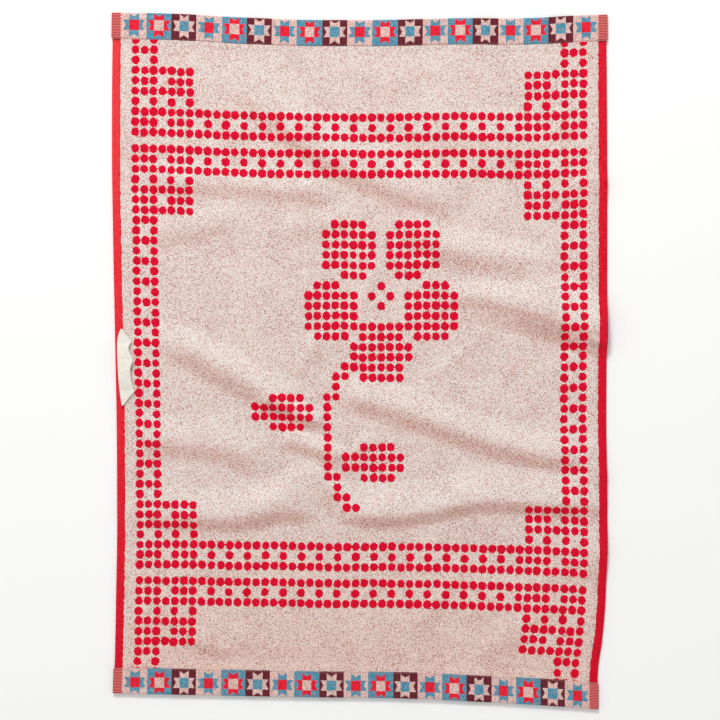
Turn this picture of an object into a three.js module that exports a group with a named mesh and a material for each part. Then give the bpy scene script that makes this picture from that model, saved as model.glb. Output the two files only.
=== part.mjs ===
// Hand towel of 500 x 700 mm, laid out face up on a flat surface, with the low folds of a
// towel that has just been spread by hand.
//
// Millimetres. X runs across the towel, Y along it, Z up from the surface it lies on.
// Four sewn pieces, each its own closed solid:
//   terry_cloth         looped cotton cloth with its narrow flat side hems
//   star_border_top     woven star tape folded over the top end of the cloth
//   star_border_bottom  the same tape over the bottom end
//   hang_loop           cotton tape caught in the left side hem, for a hook

import * as THREE from 'three';

// Cloth, as it was cut and hemmed.
const CLOTH_WIDTH = 500;
const CLOTH_LENGTH = 700;
const CLOTH_THICKNESS = 3.0;
const HEM_WIDTH = 8.5;
const HEM_THICKNESS = 2.2;
const HEM_ROUND = 0.6;
const HEM_STEP = 1.2;

// Star tape: a C in section, with one leg on each face of the cloth.
const TAPE_DEPTH = 27;
const TAPE_THICKNESS = 1.0;
const TAPE_OVERHANG = 1.2;
const TAPE_ROUND = 1.3;
const TAPE_ARC_STEPS = 2;
const PIECE_GAP = 0.3;
const PRESSED_THICKNESS = 1.5;
const PRESSED_INSET = 1.8;
const PRESSED_MARGIN = 0.4;
const PRESSED_STEP = 2.6;

// Hanging loop.
const LOOP_THICKNESS = 1.0;
const LOOP_SEAT = CLOTH_THICKNESS + PIECE_GAP;

// Grid of the cloth: wide cells across, since the folds run across, and closer rows under them.
const COLUMN_STEP = 22;
const ROW_ZONES = [
  { from: 30, to: 170, step: 17.5 },
  { from: 170, to: 545, step: 11 },
  { from: 545, to: 670, step: 16 },
];

// Where the four edges lie. `at` runs from 0 to 1 along the edge, from the left or from the
// bottom, and `place` is the distance from the middle of the towel.
const TOP_EDGE = [
  { at: 0.0, place: 352.2 },
  { at: 0.14, place: 350.7 },
  { at: 0.27, place: 347.1 },
  { at: 0.49, place: 344.6 },
  { at: 0.71, place: 346.6 },
  { at: 0.83, place: 346.4 },
  { at: 0.93, place: 349.0 },
  { at: 1.0, place: 350.2 },
];
const BOTTOM_EDGE = [
  { at: 0.0, place: -336.0 },
  { at: 0.2, place: -338.0 },
  { at: 0.42, place: -340.0 },
  { at: 0.6, place: -341.2 },
  { at: 0.74, place: -344.2 },
  { at: 0.87, place: -347.6 },
  { at: 1.0, place: -352.2 },
];
const LEFT_EDGE = [
  { at: 0.0, place: -248.5 },
  { at: 0.14, place: -246.4 },
  { at: 0.31, place: -245.4 },
  { at: 0.52, place: -247.4 },
  { at: 0.68, place: -249.5 },
  { at: 0.84, place: -250.5 },
  { at: 1.0, place: -249.5 },
];
const RIGHT_EDGE = [
  { at: 0.0, place: 240.4 },
  { at: 0.06, place: 241.4 },
  { at: 0.1, place: 245.4 },
  { at: 0.19, place: 249.5 },
  { at: 0.29, place: 250.5 },
  { at: 0.42, place: 249.5 },
  { at: 0.67, place: 250.5 },
  { at: 1.0, place: 249.5 },
];

// The folds. Each is a low ridge along a smooth crest, from left to right: `rise` is its
// height, `above` and `below` how far it spreads towards the top and the bottom of the towel,
// `peak` where along the crest it is highest, and `hold` how much of the crest stays high.
const FOLDS = [
  { name: 'left_diagonal', rise: 6.0, above: 25, below: 24, peak: 0.6, hold: 0.5,
    crest: [[-218, 24], [-180, 15], [-140, -6], [-100, -27], [-62, -46]] },
  { name: 'left_tuck', rise: 4.6, above: 16, below: 13, peak: 0.5, hold: 0.6,
    crest: [[-104, -36], [-76, -47], [-34, -66]] },
  { name: 'right_diagonal', rise: 6.0, above: 26, below: 21, peak: 0.35, hold: 0.6,
    crest: [[-32, -30], [20, -42], [66, -57], [142, -83], [200, -95], [268, -97]] },
  { name: 'left_lower', rise: 5.2, above: 30, below: 24, peak: 0.25, hold: 0.45,
    crest: [[-228, -78], [-180, -80], [-136, -86], [-80, -112]] },
  { name: 'short_middle', rise: 4.2, above: 15, below: 15, peak: 0.45, hold: 0.5,
    crest: [[-84, -76], [-48, -86], [-6, -102]] },
  { name: 'cross_left', rise: 5.4, above: 34, below: 18, peak: 0.74, hold: 0.35,
    crest: [[-270, -149], [-180, -156], [-118, -157], [-82, -150], [-30, -152]] },
  { name: 'cross_peak', rise: 3.8, above: 18, below: 30, peak: 0.5, hold: 0.5,
    crest: [[-128, -154], [-88, -139], [-54, -116], [-30, -130], [-2, -148]] },
  { name: 'cross_right', rise: 7.0, above: 36, below: 17, peak: 0.4, hold: 0.6,
    crest: [[-34, -148], [20, -155], [60, -152], [120, -140], [180, -142], [272, -146]] },
  { name: 'right_high', rise: 10.2, above: 50, below: 28, peak: 1.0, hold: 0.3,
    crest: [[84, 66], [142, 58], [193, 44], [252, 28]] },
  { name: 'right_high_start', rise: 2.2, above: 19, below: 15, peak: 0.35, hold: 0.5,
    crest: [[84, 68], [140, 62], [214, 44]] },
  { name: 'upper_short', rise: 5.2, above: 24, below: 25, peak: 0.4, hold: 0.42,
    crest: [[36, 142], [64, 127], [96, 114], [150, 104], [206, 99]] },
  { name: 'upper_left', rise: 3.0, above: 22, below: 18, peak: 0.6, hold: 0.6,
    crest: [[-230, 184], [-136, 180], [-80, 174], [-12, 168]] },
  { name: 'upper_diagonal', rise: 5.4, above: 42, below: 21, peak: 0.7, hold: 0.42,
    crest: [[-160, 306], [-112, 270], [-62, 226], [-8, 194], [44, 173], [112, 155]] },
  { name: 'upper_right', rise: 2.2, above: 44, below: 36, peak: 0.6, hold: 0.45,
    crest: [[30, 262], [92, 230], [190, 206]] },
  { name: 'left_soft', rise: 1.8, above: 22, below: 18, peak: 0.5, hold: 0.5,
    crest: [[-222, 126], [-170, 134], [-108, 152]] },
];
const CREST_SAMPLES = 32;

// The loop of tape from its upper tip to its lower tip: its two edges across the towel, its
// underside above its seat, and how many thicknesses of tape lie there, two where it folds.
const LOOP_STATIONS = [
  { y: 32.4, left: -241.2, right: -240.0, lift: 0.0, layers: 2 },
  { y: 27.0, left: -243.4, right: -236.2, lift: 0.0, layers: 2 },
  { y: 19.7, left: -244.7, right: -230.4, lift: 0.0, layers: 2 },
  { y: 17.5, left: -244.7, right: -231.4, lift: 1.3, layers: 1 },
  { y: 10.5, left: -244.6, right: -232.9, lift: 4.2, layers: 1 },
  { y: 1.0, left: -244.2, right: -229.0, lift: 5.2, layers: 1 },
  { y: -6.5, left: -243.9, right: -231.0, lift: 5.5, layers: 1 },
  { y: -14.2, left: -243.5, right: -231.0, lift: 5.2, layers: 1 },
  { y: -21.5, left: -243.0, right: -229.8, lift: 4.2, layers: 1 },
  { y: -28.4, left: -242.5, right: -228.0, lift: 1.3, layers: 1 },
  { y: -30.6, left: -242.3, right: -227.4, lift: 0.0, layers: 2 },
  { y: -38.5, left: -241.2, right: -233.8, lift: 0.0, layers: 2 },
  { y: -45.2, left: -240.1, right: -238.9, lift: 0.0, layers: 2 },
];

const smooth = (amount) => amount * amount * (3 - 2 * amount);
const clamp = THREE.MathUtils.clamp;
const lerp = THREE.MathUtils.lerp;

// A smooth function through the rows of an edge table.
function edgeFunction(rows) {
  const slopes = rows.map((row, i) => {
    const before = rows[Math.max(i - 1, 0)];
    const after = rows[Math.min(i + 1, rows.length - 1)];
    return (after.place - before.place) / (after.at - before.at);
  });
  return (at) => {
    let i = 0;
    while (i < rows.length - 2 && at > rows[i + 1].at) i += 1;
    const span = rows[i + 1].at - rows[i].at;
    const part = (at - rows[i].at) / span;
    const from = rows[i].place + slopes[i] * span * part;
    const to = rows[i + 1].place - slopes[i + 1] * span * (1 - part);
    return lerp(from, to, smooth(clamp(part, 0, 1)));
  };
}

const topEdge = edgeFunction(TOP_EDGE);
const bottomEdge = edgeFunction(BOTTOM_EDGE);
const leftEdge = edgeFunction(LEFT_EDGE);
const rightEdge = edgeFunction(RIGHT_EDGE);

// Where a point of the flat cloth lies: `across` from its left edge, `along` from its bottom.
function laidPlace(across, along) {
  const u = across / CLOTH_WIDTH;
  const v = along / CLOTH_LENGTH;
  return new THREE.Vector2(
    lerp(leftEdge(v), rightEdge(v), u),
    lerp(bottomEdge(u), topEdge(u), v),
  );
}

// Each crest as short straight stretches, with the share of its length at either end.
const crests = FOLDS.map((fold) => {
  const curve = new THREE.SplineCurve(fold.crest.map(([x, y]) => new THREE.Vector2(x, y)));
  return curve.getSpacedPoints(CREST_SAMPLES);
});

function ridgeHeight(fold, points, place) {
  let nearest = Infinity;
  let share = 0;
  let isAbove = true;
  for (let i = 0; i < points.length - 1; i += 1) {
    const stretch = points[i + 1].clone().sub(points[i]);
    const offset = place.clone().sub(points[i]);
    const part = clamp(offset.dot(stretch) / stretch.lengthSq(), 0, 1);
    const distance = offset.clone().addScaledVector(stretch, -part).length();
    if (distance < nearest) {
      nearest = distance;
      share = (i + part) / (points.length - 1);
      isAbove = stretch.cross(offset) > 0;
    }
  }
  const spread = isAbove ? fold.above : fold.below;
  if (nearest >= spread) return 0;
  const reach = share < fold.peak
    ? (fold.peak - share) / fold.peak
    : (share - fold.peak) / Math.max(1 - fold.peak, Number.EPSILON);
  const along = smooth(clamp((1 - reach) / (1 - fold.hold), 0, 1));
  const across = Math.cos((Math.PI / 2) * (nearest / spread)) ** 2;
  return fold.rise * along * across;
}

function foldHeight(place) {
  return FOLDS.reduce((sum, fold, i) => sum + ridgeHeight(fold, crests[i], place), 0);
}

// Underside and upper side of the cloth above the height to which the folds lift it there.
// The side hems are thinner than the pile, and the ends are pressed between the tape's legs.
function clothFaces(across, along) {
  const fromSide = Math.min(across, CLOTH_WIDTH - across);
  const fromEnd = Math.min(along, CLOTH_LENGTH - along);
  const pile = clamp((fromSide - HEM_WIDTH) / HEM_STEP, 0, 1);
  const open = clamp((fromEnd - TAPE_DEPTH - PRESSED_MARGIN) / PRESSED_STEP, 0, 1);
  const turned = HEM_ROUND * clamp(1 - fromSide / HEM_ROUND, 0, 1);
  const pressedBottom = TAPE_THICKNESS + PIECE_GAP;
  const openTop = lerp(HEM_THICKNESS, CLOTH_THICKNESS, pile);
  return {
    bottom: lerp(pressedBottom, turned, open),
    top: lerp(pressedBottom + PRESSED_THICKNESS, openTop - turned, open),
  };
}

function evenLines(from, to, step) {
  const count = Math.ceil((to - from) / step);
  return Array.from({ length: count + 1 }, (_, i) => lerp(from, to, i / count));
}

// A closed solid from vertices and flat-shaded triangles.
function solidMesh(name, color, roughness, positions, indices) {
  const geometry = new THREE.BufferGeometry();
  geometry.setAttribute('position', new THREE.Float32BufferAttribute(positions, 3));
  geometry.setIndex(indices);
  geometry.computeVertexNormals();
  const material = new THREE.MeshStandardMaterial({ color, roughness, metalness: 0 });
  const mesh = new THREE.Mesh(geometry, material);
  mesh.name = name;
  return mesh;
}

// Two triangles for the four corners a, b, c, d, listed round the quad as seen from outside.
function pushQuad(indices, a, b, c, d, turned) {
  if (turned) indices.push(a, b, d, b, c, d);
  else indices.push(a, b, c, a, c, d);
}

// The cloth: one sheet over a grid, its upper and lower faces closed by walls at the edges.
function terryCloth() {
  const side = [0, HEM_ROUND, HEM_WIDTH];
  const firstColumn = HEM_WIDTH + HEM_STEP;
  const columns = [
    ...side,
    ...evenLines(firstColumn, CLOTH_WIDTH - firstColumn, COLUMN_STEP),
    ...side.map((across) => CLOTH_WIDTH - across).reverse(),
  ];
  const end = [PRESSED_INSET, TAPE_DEPTH + PRESSED_MARGIN];
  const middle = ROW_ZONES.flatMap((zone, i) => {
    const lines = evenLines(zone.from, zone.to, zone.step);
    return i === 0 ? lines : lines.slice(1);
  });
  const rows = [...end, ...middle, ...end.map((along) => CLOTH_LENGTH - along).reverse()];

  const positions = [];
  for (const along of rows) {
    for (const across of columns) {
      const place = laidPlace(across, along);
      const height = foldHeight(place);
      const faces = clothFaces(across, along);
      positions.push(place.x, place.y, height + faces.bottom);
      positions.push(place.x, place.y, height + faces.top);
    }
  }
  const lower = (i, j) => 2 * (j * columns.length + i);
  const upper = (i, j) => lower(i, j) + 1;
  const lastColumn = columns.length - 1;
  const lastRow = rows.length - 1;

  const indices = [];
  for (let j = 0; j < lastRow; j += 1) {
    for (let i = 0; i < lastColumn; i += 1) {
      const turned = (i + j) % 2 === 0;
      pushQuad(indices, upper(i, j), upper(i + 1, j), upper(i + 1, j + 1), upper(i, j + 1), turned);
      pushQuad(indices, lower(i, j), lower(i, j + 1), lower(i + 1, j + 1), lower(i + 1, j), turned);
    }
    pushQuad(indices, lower(0, j + 1), lower(0, j), upper(0, j), upper(0, j + 1), false);
    pushQuad(indices, lower(lastColumn, j), lower(lastColumn, j + 1),
      upper(lastColumn, j + 1), upper(lastColumn, j), false);
  }
  for (let i = 0; i < lastColumn; i += 1) {
    pushQuad(indices, lower(i, 0), lower(i + 1, 0), upper(i + 1, 0), upper(i, 0), false);
    pushQuad(indices, lower(i + 1, lastRow), lower(i, lastRow),
      upper(i, lastRow), upper(i + 1, lastRow), false);
  }
  return solidMesh('terry_cloth', 0xdcbfb8, 0.95, positions, indices);
}

// A closed solid from rings of points, each a section of the piece, capped at both ends.
// The section runs anticlockwise as seen from beyond the last ring.
function sweptSolid(name, color, roughness, section, rings) {
  const count = section.length;
  const positions = rings.flatMap((ring) => ring.flatMap((point) => point.toArray()));
  const indices = [];
  for (let r = 0; r < rings.length - 1; r += 1) {
    for (let k = 0; k < count; k += 1) {
      const next = (k + 1) % count;
      pushQuad(indices, r * count + k, r * count + next,
        (r + 1) * count + next, (r + 1) * count + k, false);
    }
  }
  const last = (rings.length - 1) * count;
  for (const [a, b, c] of THREE.ShapeUtils.triangulateShape(section, [])) {
    indices.push(a, c, b);
    indices.push(last + a, last + b, last + c);
  }
  return solidMesh(name, color, roughness, positions, indices);
}

// Corner arc of the tape's section, from one angle to another.
function cornerArc(centreX, centreY, radius, from, to) {
  return evenLines(0, 1, 1 / TAPE_ARC_STEPS).map((part) => {
    const angle = lerp(from, to, part);
    return new THREE.Vector2(
      centreX + radius * Math.cos(angle),
      centreY + radius * Math.sin(angle),
    );
  });
}

// Section of the star tape: x is the distance in from the towel's end and y the height.
function tapeSection() {
  const height = 2 * (TAPE_THICKNESS + PIECE_GAP) + PRESSED_THICKNESS;
  const innerRound = TAPE_ROUND - TAPE_THICKNESS;
  const quarter = Math.PI / 2;
  const top = height - TAPE_ROUND;
  return [
    new THREE.Vector2(TAPE_DEPTH, height),
    ...cornerArc(TAPE_ROUND, top, TAPE_ROUND, quarter, 2 * quarter),
    ...cornerArc(TAPE_ROUND, TAPE_ROUND, TAPE_ROUND, 2 * quarter, 3 * quarter),
    new THREE.Vector2(TAPE_DEPTH, 0),
    new THREE.Vector2(TAPE_DEPTH, TAPE_THICKNESS),
    ...cornerArc(TAPE_ROUND, TAPE_ROUND, innerRound, 3 * quarter, 2 * quarter),
    ...cornerArc(TAPE_ROUND, top, innerRound, 2 * quarter, quarter),
    new THREE.Vector2(TAPE_DEPTH, height - TAPE_THICKNESS),
  ];
}

// The tape over one end of the cloth. `end` is where that end lies along the flat cloth, and
// `inward` is 1 where the cloth runs up from it and -1 where it runs down.
function starBorder(name, end, inward) {
  const section = tapeSection();
  const firstColumn = HEM_WIDTH + HEM_STEP;
  const stations = [
    -TAPE_OVERHANG,
    ...evenLines(firstColumn, CLOTH_WIDTH - firstColumn, COLUMN_STEP),
    CLOTH_WIDTH + TAPE_OVERHANG,
  ];
  if (inward < 0) stations.reverse();
  const rings = stations.map((across) => section.map((point) => {
    const place = laidPlace(across, end + inward * point.x);
    return new THREE.Vector3(place.x, place.y, point.y + foldHeight(place));
  }));
  return sweptSolid(name, 0xb58a8c, 0.85, section, rings);
}

// The hanging loop: flat tape laid along the left hem, its middle arched clear of the cloth.
function hangLoop() {
  const rings = LOOP_STATIONS.map((station) => {
    const bottom = LOOP_SEAT + station.lift;
    const top = bottom + station.layers * LOOP_THICKNESS;
    return [
      new THREE.Vector3(station.left, station.y, bottom),
      new THREE.Vector3(station.right, station.y, bottom),
      new THREE.Vector3(station.right, station.y, top),
      new THREE.Vector3(station.left, station.y, top),
    ];
  });
  const section = [
    new THREE.Vector2(0, 0),
    new THREE.Vector2(1, 0),
    new THREE.Vector2(1, 1),
    new THREE.Vector2(0, 1),
  ];
  return sweptSolid('hang_loop', 0xe9e5dc, 0.9, section, rings);
}

const towel = new THREE.Group();
towel.add(
  terryCloth(),
  starBorder('star_border_bottom', 0, 1),
  starBorder('star_border_top', CLOTH_LENGTH, -1),
  hangLoop(),
);

// The origin is the middle of the towel's footprint, on the surface it lies on.
const middle = new THREE.Box3().setFromObject(towel).getCenter(new THREE.Vector3());
towel.position.set(-middle.x, -middle.y, 0);

export default towel;
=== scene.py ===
# %% [markdown]
# # A figured terry hand towel, laid out face up
#
# The towel is one length of looped cotton cloth. Its long sides are plain woven hems, its two
# ends are bound in a tape woven with quilt stars, and a short tape loop hangs from the left
# hem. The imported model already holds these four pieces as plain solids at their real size, so
# this script dresses each of them: it adds the pile, the woven figure, the weave of the tapes
# and the sewing thread, and never moves or resizes a piece.

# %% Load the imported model
import math

import bmesh
import bpy
import numpy as np
from mathutils import Matrix, Vector


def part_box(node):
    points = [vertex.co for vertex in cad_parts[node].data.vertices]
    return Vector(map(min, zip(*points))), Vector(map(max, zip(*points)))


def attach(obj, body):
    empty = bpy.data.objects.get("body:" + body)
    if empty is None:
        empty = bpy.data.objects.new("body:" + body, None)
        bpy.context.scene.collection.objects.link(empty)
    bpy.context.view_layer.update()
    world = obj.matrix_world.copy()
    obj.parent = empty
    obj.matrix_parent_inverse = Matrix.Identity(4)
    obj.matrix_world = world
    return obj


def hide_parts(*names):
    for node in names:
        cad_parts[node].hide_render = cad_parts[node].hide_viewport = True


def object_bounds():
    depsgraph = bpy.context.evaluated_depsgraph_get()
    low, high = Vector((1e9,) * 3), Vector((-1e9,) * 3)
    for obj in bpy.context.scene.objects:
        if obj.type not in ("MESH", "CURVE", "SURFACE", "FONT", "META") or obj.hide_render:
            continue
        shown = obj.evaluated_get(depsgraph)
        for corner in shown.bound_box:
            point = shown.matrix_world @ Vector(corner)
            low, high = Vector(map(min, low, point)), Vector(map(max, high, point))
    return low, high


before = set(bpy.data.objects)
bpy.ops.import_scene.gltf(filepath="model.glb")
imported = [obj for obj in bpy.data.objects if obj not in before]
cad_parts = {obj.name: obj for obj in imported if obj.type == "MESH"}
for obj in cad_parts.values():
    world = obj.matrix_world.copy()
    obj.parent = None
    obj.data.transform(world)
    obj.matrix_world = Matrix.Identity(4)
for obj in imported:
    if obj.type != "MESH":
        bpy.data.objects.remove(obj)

cad_low, cad_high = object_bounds()
cad_box = cad_high - cad_low
print("pieces:", ", ".join(sorted(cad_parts)))
print(f"box: {cad_box.x:.4f} x {cad_box.y:.4f} x {cad_box.z:.4f} m")

# %% [markdown]
# ## The cut cloth
#
# Blender measures in metres, but a towel is cut in millimetres, so every size below is in
# millimetres and is turned into metres only when a vertex is placed. `across` is a distance
# from the left edge of the flat cloth, and `along` a distance from its bottom edge.

# %% Sizes of the cloth, the tapes and the pile
MM = 0.001
CLOTH_WIDTH = 500.0
CLOTH_LENGTH = 700.0
CLOTH_THICKNESS = 3.0
HEM_WIDTH = 8.5
HEM_THICKNESS = 2.2
HEM_ROUND = 0.6
HEM_STEP = 1.2
TAPE_DEPTH = 27.0
TAPE_THICKNESS = 1.0
TAPE_OVERHANG = 1.2
TAPE_ROUND = 1.3
PIECE_GAP = 0.3
PRESSED_THICKNESS = 1.5
PRESSED_INSET = 1.8
PRESSED_MARGIN = 0.4
PRESSED_STEP = 2.6
TAPE_HEIGHT = 2 * (TAPE_THICKNESS + PIECE_GAP) + PRESSED_THICKNESS
rng = np.random.default_rng(27)
print(f"cloth {CLOTH_WIDTH:.0f} x {CLOTH_LENGTH:.0f} mm, bound ends {TAPE_HEIGHT:.1f} mm thick")

# %% [markdown]
# ## The grid of the cloth follows the woven figure
#
# The figure is a chart of round dots, so the cloth's grid is laid out to suit it: one coarse
# cell for each dot. A finer grid then splits each cell into 4 columns and 5 rows, which is
# about 2 mm, close to the size of a tuft of pile. Three blocks of rows, with a narrow gap
# between them, make the two bands of the border stand apart.

# %% Lines of the coarse and the fine grid
DOT_COLUMNS = 50
COLUMN_PITCH = 9.23
ROW_PITCH = 10.44
END_ROWS = 10
MIDDLE_ROWS = 42
ROW_GAP = 0.6 * ROW_PITCH
FIRST_ROW = 18.4
FINE_COLUMNS = 4
FINE_ROWS = 5


def finer(lines, parts):
    """Split each space between the lines evenly into parts."""
    wanted = np.arange((len(lines) - 1) * parts + 1) / parts
    return np.interp(wanted, np.arange(len(lines)), lines)


def dot_lines(start, count, pitch):
    """The count + 1 lines round count cells."""
    return start + pitch * np.arange(count + 1)


first_column = (CLOTH_WIDTH - DOT_COLUMNS * COLUMN_PITCH) / 2
coarse_columns = np.concatenate([
    [0.0, HEM_WIDTH],
    dot_lines(first_column, DOT_COLUMNS, COLUMN_PITCH),
    [CLOTH_WIDTH - HEM_WIDTH, CLOTH_WIDTH],
])
middle_start = FIRST_ROW + END_ROWS * ROW_PITCH + ROW_GAP
upper_start = middle_start + MIDDLE_ROWS * ROW_PITCH + ROW_GAP
upper_end = upper_start + END_ROWS * ROW_PITCH
cloth_end = CLOTH_LENGTH - PRESSED_INSET
coarse_rows = np.concatenate([
    [PRESSED_INSET, (PRESSED_INSET + FIRST_ROW) / 2],
    dot_lines(FIRST_ROW, END_ROWS, ROW_PITCH),
    dot_lines(middle_start, MIDDLE_ROWS, ROW_PITCH),
    dot_lines(upper_start, END_ROWS, ROW_PITCH),
    [(upper_end + cloth_end) / 2, cloth_end],
])
column_lines = finer(coarse_columns, FINE_COLUMNS)
row_lines = finer(coarse_rows, FINE_ROWS)
# The hem's turned edge and the step up to the pile fall on lines of their own.
column_lines[1] = HEM_ROUND
column_lines[FINE_COLUMNS + 1] = HEM_WIDTH + HEM_STEP
column_lines[-2] = CLOTH_WIDTH - HEM_ROUND
column_lines[-FINE_COLUMNS - 2] = CLOTH_WIDTH - HEM_WIDTH - HEM_STEP
print(f"coarse grid {len(coarse_columns) - 1} x {len(coarse_rows) - 1} cells,",
      f"fine grid {len(column_lines) - 1} x {len(row_lines) - 1}")

# %% [markdown]
# ## How the towel lies
#
# A towel spread by hand is never quite square: its ends bow, its sides waver, and low folds
# run across it. The edges are short tables that a smooth line runs through. Each fold is a
# ridge along a smooth crest, as high as `rise`, spreading `above` and `below` it. The edges
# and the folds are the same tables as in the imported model, so the dressed cloth follows its
# solid. The creases are finer and lower, and only the dressed cloth has them.

# %% The four edges
TOP_EDGE = [(0.0, 352.2), (0.14, 350.7), (0.27, 347.1), (0.49, 344.6),
            (0.71, 346.6), (0.83, 346.4), (0.93, 349.0), (1.0, 350.2)]
BOTTOM_EDGE = [(0.0, -336.0), (0.2, -338.0), (0.42, -340.0), (0.6, -341.2),
               (0.74, -344.2), (0.87, -347.6), (1.0, -352.2)]
LEFT_EDGE = [(0.0, -248.5), (0.14, -246.4), (0.31, -245.4), (0.52, -247.4),
             (0.68, -249.5), (0.84, -250.5), (1.0, -249.5)]
RIGHT_EDGE = [(0.0, 240.4), (0.06, 241.4), (0.1, 245.4), (0.19, 249.5),
              (0.29, 250.5), (0.42, 249.5), (0.67, 250.5), (1.0, 249.5)]


def smooth(amount):
    """Ease from 0 to 1."""
    return amount * amount * (3 - 2 * amount)


def smooth_line(rows):
    """A smooth function through (at, place) rows."""
    at, place = np.array(rows).T
    order = np.arange(len(at))
    before = np.maximum(order - 1, 0)
    after = np.minimum(order + 1, len(at) - 1)
    slope = (place[after] - place[before]) / (at[after] - at[before])

    def line(where):
        i = np.clip(np.searchsorted(at, where) - 1, 0, len(at) - 2)
        span = at[i + 1] - at[i]
        part = (where - at[i]) / span
        leaving = place[i] + slope[i] * span * part
        arriving = place[i + 1] - slope[i + 1] * span * (1 - part)
        return leaving + (arriving - leaving) * smooth(np.clip(part, 0, 1))

    return line


top_edge, bottom_edge = smooth_line(TOP_EDGE), smooth_line(BOTTOM_EDGE)
left_edge, right_edge = smooth_line(LEFT_EDGE), smooth_line(RIGHT_EDGE)


def laid_plan(across, along):
    """Where a point of the flat cloth lies on the table, seen from above."""
    u, v = across / CLOTH_WIDTH, along / CLOTH_LENGTH
    x = left_edge(v) + (right_edge(v) - left_edge(v)) * u
    y = bottom_edge(u) + (top_edge(u) - bottom_edge(u)) * v
    return x, y


corner = laid_plan(np.array([0.0]), np.array([CLOTH_LENGTH]))
print(f"top left corner at {corner[0][0]:.1f}, {corner[1][0]:.1f} mm")

# %% The folds and the finer creases
# Columns: rise, above, below, peak (where along the crest it is highest), hold (how much of
# the crest stays high), crest.
FOLDS = {
    "left_diagonal": (6.0, 25, 24, 0.6, 0.5,
        [(-218, 24), (-180, 15), (-140, -6), (-100, -27), (-62, -46)]),
    "left_tuck": (4.6, 16, 13, 0.5, 0.6, [(-104, -36), (-76, -47), (-34, -66)]),
    "right_diagonal": (6.0, 26, 21, 0.35, 0.6,
        [(-32, -30), (20, -42), (66, -57), (142, -83), (200, -95),
        (268, -97)]),
    "left_lower": (5.2, 30, 24, 0.25, 0.45,
        [(-228, -78), (-180, -80), (-136, -86), (-80, -112)]),
    "short_middle": (4.2, 15, 15, 0.45, 0.5, [(-84, -76), (-48, -86), (-6, -102)]),
    "cross_left": (5.4, 34, 18, 0.74, 0.35,
        [(-270, -149), (-180, -156), (-118, -157), (-82, -150), (-30, -152)]),
    "cross_peak": (3.8, 18, 30, 0.5, 0.5,
        [(-128, -154), (-88, -139), (-54, -116), (-30, -130), (-2, -148)]),
    "cross_right": (7.0, 36, 17, 0.4, 0.6,
        [(-34, -148), (20, -155), (60, -152), (120, -140), (180, -142),
        (272, -146)]),
    "right_high": (10.2, 50, 28, 1.0, 0.3, [(84, 66), (142, 58), (193, 44), (252, 28)]),
    "right_high_start": (2.2, 19, 15, 0.35, 0.5, [(84, 68), (140, 62), (214, 44)]),
    "upper_short": (5.2, 24, 25, 0.4, 0.42,
        [(36, 142), (64, 127), (96, 114), (150, 104), (206, 99)]),
    "upper_left": (3.0, 22, 18, 0.6, 0.6,
        [(-230, 184), (-136, 180), (-80, 174), (-12, 168)]),
    "upper_diagonal": (5.4, 42, 21, 0.7, 0.42,
        [(-160, 306), (-112, 270), (-62, 226), (-8, 194), (44, 173),
        (112, 155)]),
    "upper_right": (2.2, 44, 36, 0.6, 0.45, [(30, 262), (92, 230), (190, 206)]),
    "left_soft": (1.8, 22, 18, 0.5, 0.5, [(-222, 126), (-170, 134), (-108, 152)]),
}
CREASES = {
    "centre_soft": (1.2, 20, 18, 0.5, 0.5, [(-104, 124), (-50, 136), (10, 150)]),
    "stem_short": (1.8, 13, 13, 0.5, 0.53, [(-14, -122), (-6, -98), (14, -72)]),
    "corner_arc": (2.0, 26, 14, 0.5, 0.53, [(-178, -278), (-140, -290), (-102, -274)]),
    "centre_low": (0.9, 11, 9, 0.4, 0.6, [(-8, -306), (-9, -240), (-7, -172)]),
    "centre_high": (0.9, 14, 14, 0.4, 0.53, [(-6, 240), (0, 270), (10, 300)]),
    "low_streak": (1.5, 12, 16, 0.5, 0.5, [(52, -276), (84, -234), (116, -190)]),
    "low_right": (1.2, 20, 16, 0.5, 0.5, [(120, -296), (165, -270), (204, -232)]),
    "high_streak": (1.0, 12, 9, 0.5, 0.5, [(58, 312), (80, 282), (102, 248)]),
    "petal_wrinkle": (1.3, 10, 12, 0.5, 0.5, [(-6, 44), (8, 74), (24, 106)]),
    "stem_wrinkle": (1.4, 10, 11, 0.5, 0.5, [(-64, -20), (-54, 4), (-40, 30)]),
    "right_thread": (1.0, 9, 9, 0.5, 0.5, [(64, -22), (102, 6), (130, 34)]),
    "right_pucker": (1.8, 7, 9, 1.0, 0.3, [(196, 30), (226, 22), (254, 18)]),
    "right_pucker_low": (1.2, 5, 7, 1.0, 0.3, [(212, 16), (234, 11), (254, 8)]),
    "hem_ripple_high": (2.5, 14, 28, 1.0, 0.3, [(206, 186), (230, 184), (256, 180)]),
    "hem_ripple_middle": (2.6, 16, 18, 1.0, 0.3, [(206, -110), (230, -113), (256, -117)]),
    "hem_ripple_low": (3.6, 36, 40, 1.0, 0.3, [(192, -200), (224, -197), (256, -194)]),
}
WRINKLES = {**FOLDS, **CREASES}
CREST_STRETCHES = 32
CURVE_SAMPLES = 40


def crest_line(points):
    """A smooth curve through the crest's points, cut into even stretches."""
    points = np.array(points, float)
    held = np.vstack([points[:1], points, points[-1:]])
    t = np.linspace(0, 1, CURVE_SAMPLES, endpoint=False)[:, None]
    parts = []
    for before, start, end, after in zip(held, held[1:], held[2:], held[3:]):
        leaving, arriving = (end - before) / 2, (after - start) / 2
        cubic = 2 * start - 2 * end + leaving + arriving
        square = 3 * end - 3 * start - 2 * leaving - arriving
        parts.append(cubic * t**3 + square * t**2 + leaving * t + start)
    curve = np.vstack([*parts, points[-1:]])
    walked = np.append(0, np.cumsum(np.hypot(*np.diff(curve, axis=0).T)))
    even = np.linspace(0, walked[-1], CREST_STRETCHES + 1)
    return np.column_stack([np.interp(even, walked, curve[:, axis]) for axis in (0, 1)])


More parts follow.
